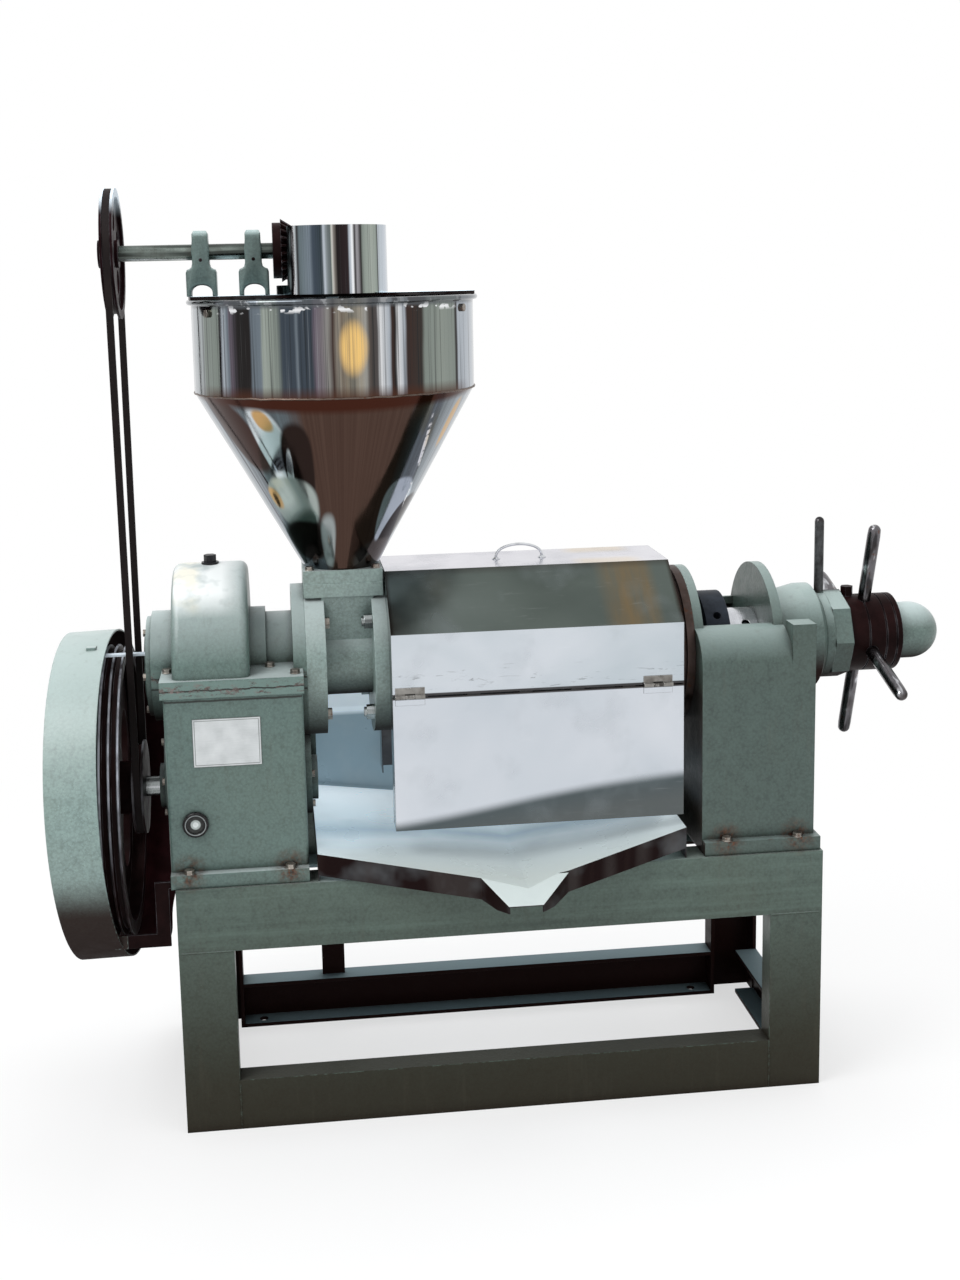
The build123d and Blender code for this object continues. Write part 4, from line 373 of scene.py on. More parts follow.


# Painted reflection stripes on the polished sheet, left and right of the front: degrees from the front, tone
BAND_LEFT = [
    (-90, (0.40, 0.44, 0.47)), (-78, (0.60, 0.64, 0.68)), (-63, (0.42, 0.46, 0.47)), (-61, GREEN_GREY),
    (-51, GREEN_GREY), (-50, BLACK), (-48, LILAC), (-45, BLUE_GREY), (-44, PURPLE), (-40, BLACK),
    (-34, BLACK), (-33, BLUE_GREY), (-29, BLUE_GREY), (-28, (0.42, 0.47, 0.42)), (-22, GREEN_GREY),
    (-20, SLATE), (-15, SLATE), (-14, BLUE_GREY), (-13, SLATE), (-8, SLATE), (-7, PURPLE),
    (-4, (0.25, 0.22, 0.24)), (-2, (0.34, 0.33, 0.31)), (0, BROWN),
]
BAND_RIGHT = [
    (0, BROWN), (2, (0.40, 0.36, 0.30)), (3.5, (0.20, 0.16, 0.12)), (5, (0.30, 0.26, 0.20)),
    (7, (0.20, 0.19, 0.16)), (10, (0.40, 0.36, 0.29)), (12, (0.42, 0.41, 0.38)), (13.5, (0.10, 0.08, 0.07)),
    (16.5, (0.09, 0.08, 0.08)), (17.5, WHITE), (21.5, LILAC), (22.5, BROWN), (24, BLACK), (25, WHITE),
    (28, LILAC), (29, BROWN), (36, (0.05, 0.04, 0.035)), (37.5, GREEN_GREY), (47, (0.33, 0.37, 0.33)),
    (55.5, GREEN_GREY), (56.2, BLACK), (57.4, BLACK), (58.2, LILAC), (74, LILAC), (90, WHITE),
]
COVER_LEFT = [
    (-90, (0.35, 0.38, 0.40)), (-76, (0.16, 0.18, 0.19)), (-72, BLACK), (-60, BLACK),
    (-58, (0.30, 0.34, 0.34)), (-55, (0.06, 0.075, 0.08)), (-46, (0.12, 0.15, 0.155)), (-43, BLACK),
    (-41, WHITE), (-38, (0.42, 0.46, 0.48)), (-36, BLACK), (-33, (0.13, 0.165, 0.18)), (-22, BLUE_GREY),
    (-18, SLATE), (-9, (0.04, 0.055, 0.065)), (-7, LILAC), (-4, (0.22, 0.25, 0.26)), (0, (0.10, 0.12, 0.12)),
]
COVER_RIGHT = [
    (0, GREEN_GREY), (1.5, (0.62, 0.60, 0.56)), (3, (0.22, 0.20, 0.18)), (6, BLACK),
    (17, (0.03, 0.02, 0.022)), (19, LILAC), (22, WHITE), (24, BLACK), (27, (0.36, 0.35, 0.37)), (31, BLACK),
    (34, GREEN_GREY), (46, (0.36, 0.40, 0.36)), (53, GREEN_GREY), (54.5, BLACK), (56, (0.48, 0.53, 0.57)),
    (70, LILAC), (90, (0.6, 0.63, 0.68)),
]
# Painted reflections on the cone as patches: degrees from the front, share of its height, half width,
# half height, lean, tone, softness
CONE_PATCHES = [
    (-52.0, 0.80, 12.0, 0.22, -30.0, (0.045, 0.022, 0.018), 0.3),
    (-31.0, 0.66, 9.0, 0.30, -14.0, (0.58, 0.63, 0.66), 0.22),
    (-33.0, 0.88, 4.0, 0.06, -20.0, ORANGE, 0.5),
    (-22.0, 0.60, 8.5, 0.27, 10.0, (0.022, 0.014, 0.012), 0.22),
    (-29.0, 0.52, 2.0, 0.20, 20.0, (0.50, 0.55, 0.56), 0.22),
    (-34.0, 0.40, 19.0, 0.16, 10.0, (0.34, 0.385, 0.365), 0.22),
    (-48.0, 0.43, 5.0, 0.06, 0.0, ORANGE, 0.6),
    (-34.0, 0.18, 24.0, 0.12, 30.0, (0.040, 0.030, 0.028), 0.3),
    (-12.0, 0.18, 7.0, 0.16, 20.0, (0.30, 0.33, 0.33), 0.5),
    (47.0, 0.33, 15.0, 0.20, -10.0, (0.50, 0.56, 0.62), 0.15),
    (58.0, 0.25, 13.0, 0.17, 50.0, (0.030, 0.024, 0.025), 0.22),
    (44.0, 0.08, 26.0, 0.09, 60.0, (0.10, 0.085, 0.08), 0.4),
]
BROKEN_GLINT = (52.0, 0.62, 1.4, 0.26, -22.0, WHITE, 0.5)
CONE_TOP_PATCHES = [
    (64.0, 0.82, 3.0, 0.13, 0.0, ORANGE, 0.5),
    (-62.0, 0.62, 0.8, 0.50, -10.0, (0.03, 0.03, 0.04), 0.4),
]


def cone_tone(f, off, fine):
    """Painted reflections: brown middle, pale sides, soft patches; painted shade just under the joint."""
    height = f.fit(f.z, CONE_FOOT_Z, JOINT_Z)

    def patch(base, turn_at, height_at, wide, high, lean, tone, soft):
        along = f.less(height, height_at)
        across = f.less(f.less(off, turn_at), f.times(along, lean))
        reach = f.plus(f.power(across, wide, 2.4), f.power(along, high, 2.4))
        return f.mix(f.fit(reach, 1.0 + soft, 1.0 - soft, smooth=True), base, tone)

    middle = f.times(f.fit(off, -22.0, -14.0), f.fit(off, 42.0, 33.0))
    sides = f.mix(f.fit(f.size(off), 40.0, 88.0), (0.11, 0.135, 0.15), (0.52, 0.58, 0.64))
    sides = f.mix(f.fit(fine, 0.40, 0.60, 0.0, 0.55), sides, (0.06, 0.065, 0.07))
    tone = f.mix(middle, sides, f.mix(fine, (0.040, 0.021, 0.016), (0.100, 0.062, 0.048)))
    for row in CONE_PATCHES:
        tone = patch(tone, *row)
    tone = f.mix(f.fit(f.noise(34.0, 3.0, 0.7), 0.47, 0.53), tone, patch(tone, *BROKEN_GLINT))
    for row in CONE_TOP_PATCHES:
        tone = patch(tone, *row)
    # painted shade just under the joint
    under_joint_shade = f.plus(f.z, f.times(f.math("COSINE", f.math("RADIANS", off)), 0.030))
    return f.mix(f.fit(under_joint_shade, 1.400, 1.412), tone, (0.050, 0.016, 0.010))


def band_reflections_and_shade(f, tone, off, turn, fine):
    """Painted reflections on the band: warm glow, white gleam under the rim, dark foot; painted shade under
    the rim bead.
    """
    # painted reflection: warm glow
    reach = f.plus(f.power(f.less(off, 7.5), 6.0, 2.0), f.power(f.less(f.z, 1.490), 0.055, 2.0))
    glow = f.times(f.fit(reach, 1.1, 0.15, smooth=True), f.fit(fine, 0.34, 0.56, 0.35, 1.0))
    tone = f.mix(glow, tone, (0.86, 0.56, 0.20))
    # painted reflection: white gleam under the rim
    blots = f.noise(1.0, 2.0, 0.5, f.join(f.times(turn, 0.22), 0.0, f.times(f.z, 60.0)))
    under = f.times(f.fit(f.z, 1.552, 1.558), f.fit(blots, 0.56, 0.60), f.fit(f.size(off), 60.0, 50.0))
    tone = f.mix(f.times(under, 0.85), tone, WHITE)
    # painted shade under the rim bead
    tone = f.mix(f.fit(f.z, 1.560, 1.566, 0.0, 0.75), tone, (0.10, 0.11, 0.12))
    # painted reflection: dark foot of the band above the joint
    low = f.times(f.fit(f.z, 1.424, 1.404, 0.0, 0.8), f.fit(f.size(off), 70.0, 55.0))
    return f.mix(low, tone, (0.075, 0.030, 0.018))


def mirror(name, stripes=None, wobble=2.2, dim=0.0, light_and_shade=None):
    """Polished sheet around the hopper axis, with painted reflections in light and dark; without stripes it is
    the cone.
    """
    f = Finish(name)
    turn = f.math("ARCTAN2", f.less(f.x, HOPPER_X), f.times(f.y, -1.0))
    turn = f.times(f.plus(turn, FRONT), 180 / math.pi)
    ripple = f.noise(3.2, 2.0, 0.5, f.stretch(3.0, 3.0, 1.6))
    off = f.less(f.math("PINGPONG", f.plus(turn, 90.0), 180.0), 90.0)
    off = f.plus(off, f.times(f.less(ripple, 0.5), wobble))
    fine = f.noise(1.0, 3.0, 0.7, f.join(f.times(turn, 0.9), 0.0, f.times(f.z, 1.2)))
    if stripes:
        # painted reflections: stripe tones by angle from the front
        halves = []
        for stops, low in zip(stripes, (-90.0, 0.0)):
            at = f.fit(off, low, low + 90.0)
            halves.append(f.ramp(at, [((a - low) / 90.0, c) for a, c in stops]))
        tone = f.mix(f.math("GREATER_THAN", off, 0.0), *halves)
        tone = f.mix(f.fit(fine, 0.60, 0.74, 0.0, 0.40), tone, (0.50, 0.53, 0.54))
        tone = f.mix(f.fit(fine, 0.48, 0.34, 0.0, 0.75), tone, (0.022, 0.024, 0.026))
        tone = f.mix(dim, tone, (0.030, 0.034, 0.034))
    else:
        tone = cone_tone(f, off, fine)
    if light_and_shade:
        tone = light_and_shade(f, tone, off, turn, fine)
    tone = f.mix(f.fit(f.noise(160.0, 4.0, 0.8), 0.72, 0.78, 0.0, 0.5), tone, BROWN)
    # painted reflection: darker along the outline
    tone = f.mix(f.times(f.outline(0.86), 0.85), tone, (0.10, 0.11, 0.13))
    normal = f.bump(f.noise(5.0, 2.0, 0.5, f.stretch(2.0, 2.0, 1.0)), 0.003, 0.25)
    return f.done(tone, f.fit(f.noise(20.0, 3.0), 0.3, 0.7, 0.06, 0.16), 1.0, normal)


def sheet_steel(name, tone_of, rough, edge_dark, metal=1.0, lift=0.0, scuffs=0.08, matt_of=None):
    """Bright rolled sheet; tone_of(f) is its tone by place, lift a glow of that tone as painted light,
    matt_of(f) where it is dull.
    """
    f = Finish(name)
    edge = f.edges(0.0018)
    smudge = f.noise(11.0, 3.0, 0.5)
    tone = f.mix(f.fit(smudge, 0.52, 0.72, 0.0, 0.18), tone_of(f), (0.30, 0.34, 0.36))
    scuff = f.noise(1.0, 3.0, 0.7, f.stretch(14.0, 14.0, 260.0))
    tone = f.mix(f.fit(scuff, 0.62, 0.78, 0.0, scuffs), tone, (0.93, 0.94, 0.96))
    tone = f.mix(f.fit(f.noise(210.0, 3.0, 0.7), 0.74, 0.80, 0.0, 0.25), tone, (0.22, 0.20, 0.17))
    tone = f.mix(f.times(edge, edge_dark), tone, (0.10, 0.075, 0.06))
    normal = f.bump(f.noise(3.0, 2.0, 0.4), 0.004, 0.3, f.round)
    # painted light: the sheet glows in its own tone at strength lift
    more = {"Emission Color": tone, "Emission Strength": lift}
    if matt_of:
        matt = matt_of(f)
        metal = f.fit(matt, 0.0, 1.0, metal, 0.0)
        more["Specular IOR Level"] = f.fit(matt, 0.0, 1.0, 0.5, 0.06)
        more["Emission Strength"] = f.fit(matt, 0.0, 1.0, lift, 0.0)
    return f.done(tone, f.fit(smudge, 0.3, 0.7, rough * 0.7, rough * 1.5), metal, normal, **more)


def cover_tone(f):
    """Painted reflections: white-lilac sides and top; dark olive slant, pale cloud at its left, warm band at
    its right.
    """
    nx, ny, nz = f.split(f.facing)
    cloud = f.noise(3.4, 3.0, 0.5, f.stretch(1.0, 1.0, 1.6), 0.2)
    side = f.mix(f.fit(cloud, 0.35, 0.70), (0.50, 0.565, 0.61), (0.66, 0.70, 0.75))
    scrape = f.noise(30.0, 4.0, 0.7, f.stretch(0.5, 1.0, 3.0), 0.6)
    low = f.fit(f.z, 0.895, 0.865)
    side = f.mix(f.times(low, f.fit(scrape, 0.60, 0.66, 0.0, 0.6)), side, (0.24, 0.25, 0.26))
    side = f.mix(f.fit(f.z, COVER_FOOT_Z, COVER_FOOT_Z - 0.0015, 0.0, 0.92), side, SEAM_DARK)
    slant = f.mix(f.fit(cloud, 0.36, 0.66), (0.070, 0.086, 0.078), (0.108, 0.130, 0.118))
    left = f.times(f.fit(f.x, 0.06, -0.10), f.fit(f.noise(4.0, 2.0), 0.36, 0.62), 0.55)
    slant = f.mix(left, slant, (0.20, 0.235, 0.225))
    band = f.times(f.fit(f.x, 0.195, 0.235, smooth=True), f.fit(f.x, 0.325, 0.295, smooth=True))
    strands = f.noise(1.0, 3.0, 0.6, f.stretch(34.0, 5.0, 5.0))
    slant = f.mix(f.times(band, f.fit(strands, 0.30, 0.65, 0.25, 0.80)), slant, (0.190, 0.135, 0.070))
    slant = f.mix(f.fit(f.x, 0.345, 0.352, 0.0, 0.8), slant, FOLD_DARK)
    slant = f.mix(f.fit(f.x, -0.199, -0.206, 0.0, 0.8), slant, FOLD_DARK)
    slant = f.mix(f.fit(f.z, 1.040, 1.049, 0.0, 0.5), slant, (0.05, 0.045, 0.04))
    top = f.mix(f.fit(cloud, 0.35, 0.68), (0.56, 0.56, 0.61), (0.72, 0.71, 0.76))
    amber = f.times(f.fit(f.x, 0.16, 0.19), f.fit(f.x, 0.31, 0.28), f.fit(f.size(f.y), 0.02, 0.05), 0.55)
    top = f.mix(amber, top, (0.70, 0.55, 0.33))
    slope = f.times(f.fit(f.size(ny), 0.45, 0.60), f.fit(f.size(ny), 0.98, 0.86))
    tone = f.mix(slope, side, slant)
    tone = f.mix(f.fit(nz, 0.80, 0.93), tone, top)
    return f.mix(f.fit(f.size(nx), 0.6, 0.9), tone, (0.20, 0.205, 0.21))


def door_tone(f):
    """Painted reflections: white-lilac door with a soft dark reflection that rises to the right along its
    foot.
    """
    cloud = f.noise(3.0, 3.0, 0.5, twist=0.2)
    tone = f.mix(f.fit(cloud, 0.34, 0.70), (0.55, 0.60, 0.655), (0.68, 0.71, 0.76))
    wave = f.times(f.math("SINE", f.times(f.x, 9.0)), 0.005)
    rise = f.plus(f.times(f.fit(f.x, -0.2, 0.35), 0.068), wave)
    over = f.less(f.z, f.plus(rise, 0.584))
    foot = f.mix(f.fit(over, -0.010, -0.050), (0.046, 0.064, 0.067), (0.068, 0.079, 0.076))
    tone = f.mix(f.fit(over, 0.014, -0.010, 0.0, 0.92, smooth=True), tone, foot)
    tone = f.mix(f.fit(f.z, DOOR_TOP_Z, DOOR_TOP_Z + 0.0015, 0.0, 0.92), tone, SEAM_DARK)
    leaf = f.mix(f.fit(f.noise(60.0, 4.0, 0.7), 0.42, 0.58), (0.07, 0.065, 0.06), (0.36, 0.35, 0.33))
    return f.mix(f.fit(f.y, -0.2064, -0.2068), tone, leaf)


def hanging(f):
    """1 on upright faces."""
    return f.fit(f.size(f.split(f.facing)[2]), 0.5, 0.2)


def tray_tone(f):
    """Painted light and shade: pale banded floor with a door's shadow, dark facets on the apron, blue-grey
    back sheet.
    """
    sweep = f.plus(f.y, f.times(f.less(f.noise(2.4, 2.0, 0.4), 0.5), 0.16))
    bands = f.ramp(f.fit(sweep, -0.30, 0.24), [
        (0.0, (0.42, 0.47, 0.46)), (0.22, (0.46, 0.54, 0.57)), (0.34, (0.58, 0.70, 0.77)),
        (0.44, (0.42, 0.55, 0.64)), (0.56, (0.66, 0.80, 0.88)), (0.78, (0.76, 0.86, 0.92)),
        (1.0, (0.56, 0.67, 0.75)),
    ])
    cloud = f.noise(6.0, 2.0, 0.5, f.stretch(2.4, 1.0, 0.5))
    facet = f.mix(f.fit(cloud, 0.50, 0.64), (0.009, 0.003, 0.003), (0.034, 0.027, 0.026))
    facet = f.mix(f.fit(cloud, 0.42, 0.32), facet, (0.019, 0.010, 0.009))
    tone = f.mix(hanging(f), bands, facet)
    back = f.mix(f.fit(f.z, 0.685, 0.695), (0.150, 0.215, 0.255), (0.62, 0.72, 0.79))
    back = f.mix(f.fit(f.noise(5.0, 3.0), 0.35, 0.7, 0.0, 0.35), back, (0.16, 0.24, 0.29))
    return f.mix(f.fit(f.y, 0.185, 0.190), tone, back)


def behind(f):
    """Rear legs and rails below the beams, except their rear faces: the place of painted shade."""
    front = f.math("LESS_THAN", f.split(f.facing)[1], 0.5)
    return f.times(f.fit(f.y, -0.165, -0.160), f.fit(f.z, POST_TOP_Z + 0.002, POST_TOP_Z - 0.002), front)


def behind_tone(f):
    """Painted shade: near-black, with painted light on the pale blue tops and on the lit left rear leg."""
    leg = f.times(f.fit(f.x, -0.2, -0.25), f.fit(f.z, 0.30, 0.31))
    return f.mix(f.most(f.fit(f.split(f.facing)[2], 0.5, 0.8), leg), SHADE_BLACK, (0.17, 0.23, 0.25))


def inside_hoop(f):
    """1 on the guard's faces that look at its own axis, where painted shade goes."""
    _, ny, nz = f.split(f.facing)
    return f.fit(f.plus(f.times(ny, f.y), f.times(nz, f.less(f.z, GUARD_Z))), -0.01, -0.05)


def hump_light(f):
    """Painted highlight: broken white shine on its upper left."""
    up = f.fit(f.split(f.facing)[2], 0.38, 0.74, smooth=True)
    broken = f.fit(f.noise(13.0, 3.0, 0.6), 0.30, 0.50)
    return f.times(up, f.fit(f.z, 0.99, 1.03), f.fit(f.x, -0.478, -0.520), broken)


def hump_tone(f):
    # tone of the painted highlight: white, warm towards its left end
    warm = f.times(f.fit(f.x, -0.555, -0.572), f.fit(f.noise(22.0, 3.0), 0.40, 0.60), 0.5)
    return f.mix(warm, (0.90, 0.94, 0.94), (0.90, 0.82, 0.60))


def maroon(dark, light):
    """Blotches of two dark tones, for places in shade."""
    return lambda f: f.mix(f.noise(9.0), dark, light)


def underneath(f):
    # faces that look down, where painted shade goes
    return f.fit(f.split(f.facing)[2], 0.10, -0.50)


def support_shade(f):
    return f.times(f.fit(f.split(f.facing)[0], -0.5, -0.8, 0.0, 0.85), f.fit(f.z, 0.86, 0.80))


def bar_tone(f):
    return f.mix(f.fit(f.noise(40.0, 4.0, 0.7), 0.40, 0.62), (0.012, 0.010, 0.011), (0.060, 0.062, 0.066))


def rubber(name, colour, rough):
    f = Finish(name)
    grain = f.noise(300.0, 3.0, 0.6)
    tone = f.mix(f.fit(grain, 0.35, 0.7), colour, scaled(colour, 2.0, 0.003))
    tone = f.mix(f.fit(f.noise(12.0, 3.0), 0.55, 0.75, 0.0, 0.3), tone, (0.025, 0.017, 0.015))
    roughness = f.fit(grain, 0.3, 0.7, rough - 0.1, rough + 0.1)
    return f.done(tone, roughness, 0.0, f.bump(grain, 0.0003, 0.5), Specular_IOR_Level=0.15)


def plate_finish():
    """Bare satin plate: brushed along its length, a soft bloom, a thin line inside its edge."""
    f = Finish("plate_finish")
    brush = f.noise(1.0, 3.0, 0.6, f.stretch(30.0, 30.0, 1500.0))
    cloud = f.noise(30.0, 3.0)
    tone = f.mix(f.fit(cloud, 0.3, 0.7), (0.50, 0.53, 0.54), (0.66, 0.69, 0.70))
    tone = f.mix(f.fit(brush, 0.4, 0.7, 0.0, 0.3), tone, (0.85, 0.87, 0.88))
    low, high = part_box("nameplate")
    aside = f.less((high.x - low.x) / 2, f.size(f.less(f.x, (low.x + high.x) / 2)))
    above = f.less((high.z - low.z) / 2, f.size(f.less(f.z, (low.z + high.z) / 2)))
    inset = f.least(aside, above)
    line = f.fit(f.size(f.less(inset, 0.0035)), 0.0009, 0.0004)
    tone = f.mix(f.times(line, 0.75), tone, (0.10, 0.11, 0.11))
    tone = f.mix(f.fit(inset, 0.0012, 0.0004, 0.0, 0.7), tone, (0.16, 0.17, 0.17))
    return f.done(tone, f.fit(brush, 0.3, 0.7, 0.30, 0.45), 0.7, f.bump(brush, 0.0001, 0.4))


def glass_finish():
    """Sight glass: dark behind clear glass, with a pale disc at its middle."""
    f = Finish("glass_finish")
    away = f.distance(f.stretch(1.0, 0.0, 1.0), SIGHT)
    tone = f.mix(f.fit(away, 0.0085, 0.0100), (0.45, 0.50, 0.49), (0.008, 0.009, 0.009))
    tone = f.mix(f.fit(away, 0.0045, 0.0060, 0.8, 0.0), tone, (0.80, 0.85, 0.85))
    tone = f.mix(f.fit(f.noise(140.0, 3.0), 0.4, 0.7, 0.0, 0.25), tone, (0.10, 0.11, 0.10))
    return f.done(tone, 0.08, Specular_IOR_Level=0.2, Coat_Weight=0.25, Coat_Roughness=0.03)


def ring_finish():
    """Sight glass ring: black, with a thin bright line around its inner lip."""
    f = Finish("glass_ring_finish")
    edge = f.edges(0.001)
    away = f.distance(f.stretch(1.0, 0.0, 1.0), SIGHT)
    line = f.fit(f.size(f.less(away, 0.0190)), 0.0012, 0.0005)
    grain = f.noise(240.0, 3.0)
    tone = f.mix(f.fit(grain, 0.4, 0.7), (0.006, 0.006, 0.007), (0.022, 0.021, 0.021))
    tone = f.mix(f.times(line, 0.6), tone, (0.42, 0.46, 0.46))
    tone = f.mix(f.times(edge, 0.15), tone, (0.20, 0.20, 0.21))
    return f.done(tone, f.fit(grain, 0.3, 0.7, 0.2, 0.34), 0.0, f.round, Specular_IOR_Level=0.2)


def dress(names, material):
    for name in names.split():
        item = nodes[name]
        item.data.materials.clear()
        item.data.materials.append(material)
    return material


# -------- what each CAD node wears

# One grey-green paint throughout; its base level per part stands in for light and shade (painted light):
# lighter on the feed casting, darker on the bed, outlet, lock ring and support.
bed = dress("frame_beams frame_legs frame_rails", hammered(
    # low_dark: painted shade towards the floor; far: painted shade on the rear legs and rails
    "bed_finish", (0.068, 0.101, 0.086), (0.24, 0.29, 0.27), (0.58, 0.02, (0.034, 0.028, 0.020)),
    BASE_BOLTS, far=(behind, behind_tone), drawn=0.34,
))
dress("gearbox_housing gearbox_cover", hammered(
    "casting_finish", PAINT, (0.50, 0.58, 0.58), rust_spots=BASE_BOLTS, lip=AXIS_Z, lit=(0.22, 1.0),
    far=(hump_light, hump_tone), dull_far=0.0,
))
dress("main_bearing_cap side_plates end_cap", hammered(
    "housing_finish", (0.098, 0.143, 0.131), (0.48, 0.57, 0.57),
))
# feed casting and foot plate: the paint set lighter, as painted light
dress("feed_casting hopper_foot_plate", hammered(
    "feeding_finish", (0.195, 0.262, 0.250), (0.55, 0.63, 0.63), corner_shade=0.45,
))
bracket_paint = dress("feeder_brackets", hammered(
    "bracket_finish", (0.086, 0.126, 0.120), (0.34, 0.43, 0.43), corner_shade=0.6,
))
dress("choke_housing", hammered(
    "outlet_finish", OUTLET_PAINT, PALE, lit=(0.35, 1.0),
    # far: painted shade on faces that look down
    far=(underneath, maroon((0.010, 0.003, 0.003), (0.036, 0.012, 0.010))),
))
dress("lock_ring", hammered(
    "lock_finish", OUTLET_PAINT, PALE, lit=(0.35, 1.0), dull_far=0.3,
    far=(lambda f: f.fit(f.z, AXIS_Z + 0.088, AXIS_Z + 0.092), bar_tone),
))
dress("support_casting", hammered(
    "support_finish", (0.054, 0.080, 0.071), (0.20, 0.26, 0.25), rust_spots=BASE_BOLTS,
    far=(support_shade, maroon((0.008, 0.003, 0.003), (0.030, 0.012, 0.010))),
))
dress("belt_guard", hammered(
    # low_dark and far: painted shade on the guard's lower part and inside it
    "guard_finish", (0.185, 0.255, 0.240), (0.42, 0.50, 0.49), (0.565, 0.465, (0.026, 0.010, 0.008)),
    smooth=0.5, far=(inside_hoop, maroon((0.006, 0.002, 0.002), (0.024, 0.006, 0.006))),
))

dress("input_shaft main_shaft tie_rods press_worm", steel(
    "bright_finish", (0.36, 0.39, 0.39), 0.22, "x", painted_glints=(2.0, 48.0, 48.0),
))
dress("feeder_shaft", steel(
    "feeder_shaft_finish", (0.20, 0.235, 0.215), 0.24, "x", dark=0.5, painted_glints=(3.0, 55.0, 55.0),
))
dress("stirrer", steel("upright_finish", (0.40, 0.42, 0.42), 0.26, "z"))
dress("middle_shaft middle_gear main_gear", steel("gear_finish", (0.34, 0.34, 0.36), 0.34, "x", dark=0.6))
dress("cage_bars cage_rings cage_end_ring", steel(
    "cage_finish", (0.085, 0.062, 0.056), 0.40, "x", rust=0.2, dark=0.8,
))
dress("main_bearings side_bearings", steel("race_finish", (0.60, 0.61, 0.63), 0.16, "x"))
dress("shaft_bushes", steel("bronze_finish", (0.52, 0.34, 0.13), 0.30, "x", dark=0.3))
dress("bed_bolts cover_bolts cap_screws flange_bolts hopper_bolts", steel(
    "bolt_finish", (0.40, 0.37, 0.33), 0.42, rust=0.35, dark=0.7,
))
chrome = dress("cover_handle", steel("chrome_finish", (0.74, 0.76, 0.79), 0.10, edge_pale=0.1))
dress("door_hinges", steel("hinge_finish", (0.33, 0.32, 0.30), 0.30, dark=0.8, edge_pale=0.5))
handle_metal = dress("nut_handles", steel(
    "handle_finish", (0.16, 0.155, 0.165), 0.20, rust=0.2, dark=0.6, painted_glints=(60.0, 14.0, 14.0),
))
dress("choke_sleeve", steel("sleeve_finish", (0.74, 0.76, 0.80), 0.16, "x"))

black_iron = dress("bevel_pinion bevel_gear adjusting_nut", near_black("black_iron_finish"))
# Bright lands of the pulley as painted highlights: radius, half width, tone
PULLEY_LANDS = [
    (0.2840, 0.0035, (0.42, 0.45, 0.50)), (0.2700, 0.0028, (0.30, 0.32, 0.36)),
    (0.0915, 0.0030, (0.25, 0.26, 0.28)),
]
dress("drive_pulley feeder_pulley", near_black("pulley_finish", lands=PULLEY_LANDS))
# rim_pale: painted highlight along the top of the wheel's rim
dress("top_wheel", near_black("wheel_finish", (0.0065, 0.0018, 0.0024), (1.735, 1.775)))
dress("choke_cone", near_black("collar_finish", (0.014, 0.017, 0.022)))
dress("guard_supports", near_black("guard_support_finish", rim_pale=(0.78, 0.82)))
# near-black painted shade for the guard's liner
liner_black_shade = near_black("guard_liner_shade", (0.0100, 0.0022, 0.0028), painted_glints=0.1)

band_mirror = dress("hopper_body", mirror(
    "hopper_band_painted_reflections", (BAND_LEFT, BAND_RIGHT), dim=0.26, light_and_shade=band_reflections_and_shade,
))
cone_mirror = mirror("hopper_cone_painted_reflections")
dress("gear_cover", mirror("gear_cover_painted_reflections", (COVER_LEFT, COVER_RIGHT), 1.5))
dress("cage_cover", sheet_steel("cage_cover_painted_reflections", cover_tone, 0.20, 0.25))
dress("cover_door", sheet_steel("door_painted_reflections", door_tone, 0.20, 0.35))
# painted light: tray, back sheet and bridge glow at lift 0.55, except the hanging apron at the front
dress("oil_tray tray_back_sheet hopper_bridge", sheet_steel(
    "tray_painted_glow", tray_tone, 0.30, 0.1, metal=0.3, lift=0.55, scuffs=0.0,
    matt_of=lambda f: f.times(hanging(f), f.fit(f.y, 0.18, 0.17)),
))
seam_finish = steel("seam_finish", (0.16, 0.12, 0.10), 0.35, rust=0.4, dark=0.5)

dress("feeder_belt", rubber("belt_finish", (0.0035, 0.0016, 0.0016), 0.6))
dress("oil_seals", rubber("seal_finish", (0.022, 0.022, 0.022), 0.5))
dress("breather_plug", rubber("fitting_finish", (0.012, 0.012, 0.014), 0.35))
dress("sight_glass_ring", ring_finish())
dress("nameplate", plate_finish())
dress("sight_glass_lens", glass_finish())


# -------- detail pieces

def piece(name, points, faces, material, body, stands_for=(), sharp=35.0):
    mesh = bpy.data.meshes.new(name)
    mesh.from_pydata([tuple(p) for p in points], [], faces)
    mesh.validate()
    item = bpy.data.objects.new(name, mesh)
    scene.collection.objects.link(item)
    mesh.materials.append(material)
    mesh.polygons.foreach_set("use_smooth", [True] * len(mesh.polygons))
    mesh.set_sharp_from_angle(angle=math.radians(sharp))
    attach(item, body)
    if stands_for:
        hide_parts(*stands_for)
    return item


def skin(rings, caps=True):
    """Points and faces over rings of equal count, with end caps."""
    count = len(rings[0])
    points = [p for loop in rings for p in loop]
    faces = []
    for r in range(len(rings) - 1):
        for n in range(count):
            m = (n + 1) % count
            faces.append((r * count + n, r * count + m, (r + 1) * count + m, (r + 1) * count + n))
    if caps:
        faces.append(tuple(reversed(range(count))))
        faces.append(tuple((len(rings) - 1) * count + n for n in range(count)))
    return points, faces


def endless_skin(rings):
    """Skin over rings of which the last joins the first."""
    points, faces = skin(rings + [rings[0]], caps=False)
    size = len(points) - len(rings[0])
    return points[:size], [tuple(i % size for i in face) for face in faces]


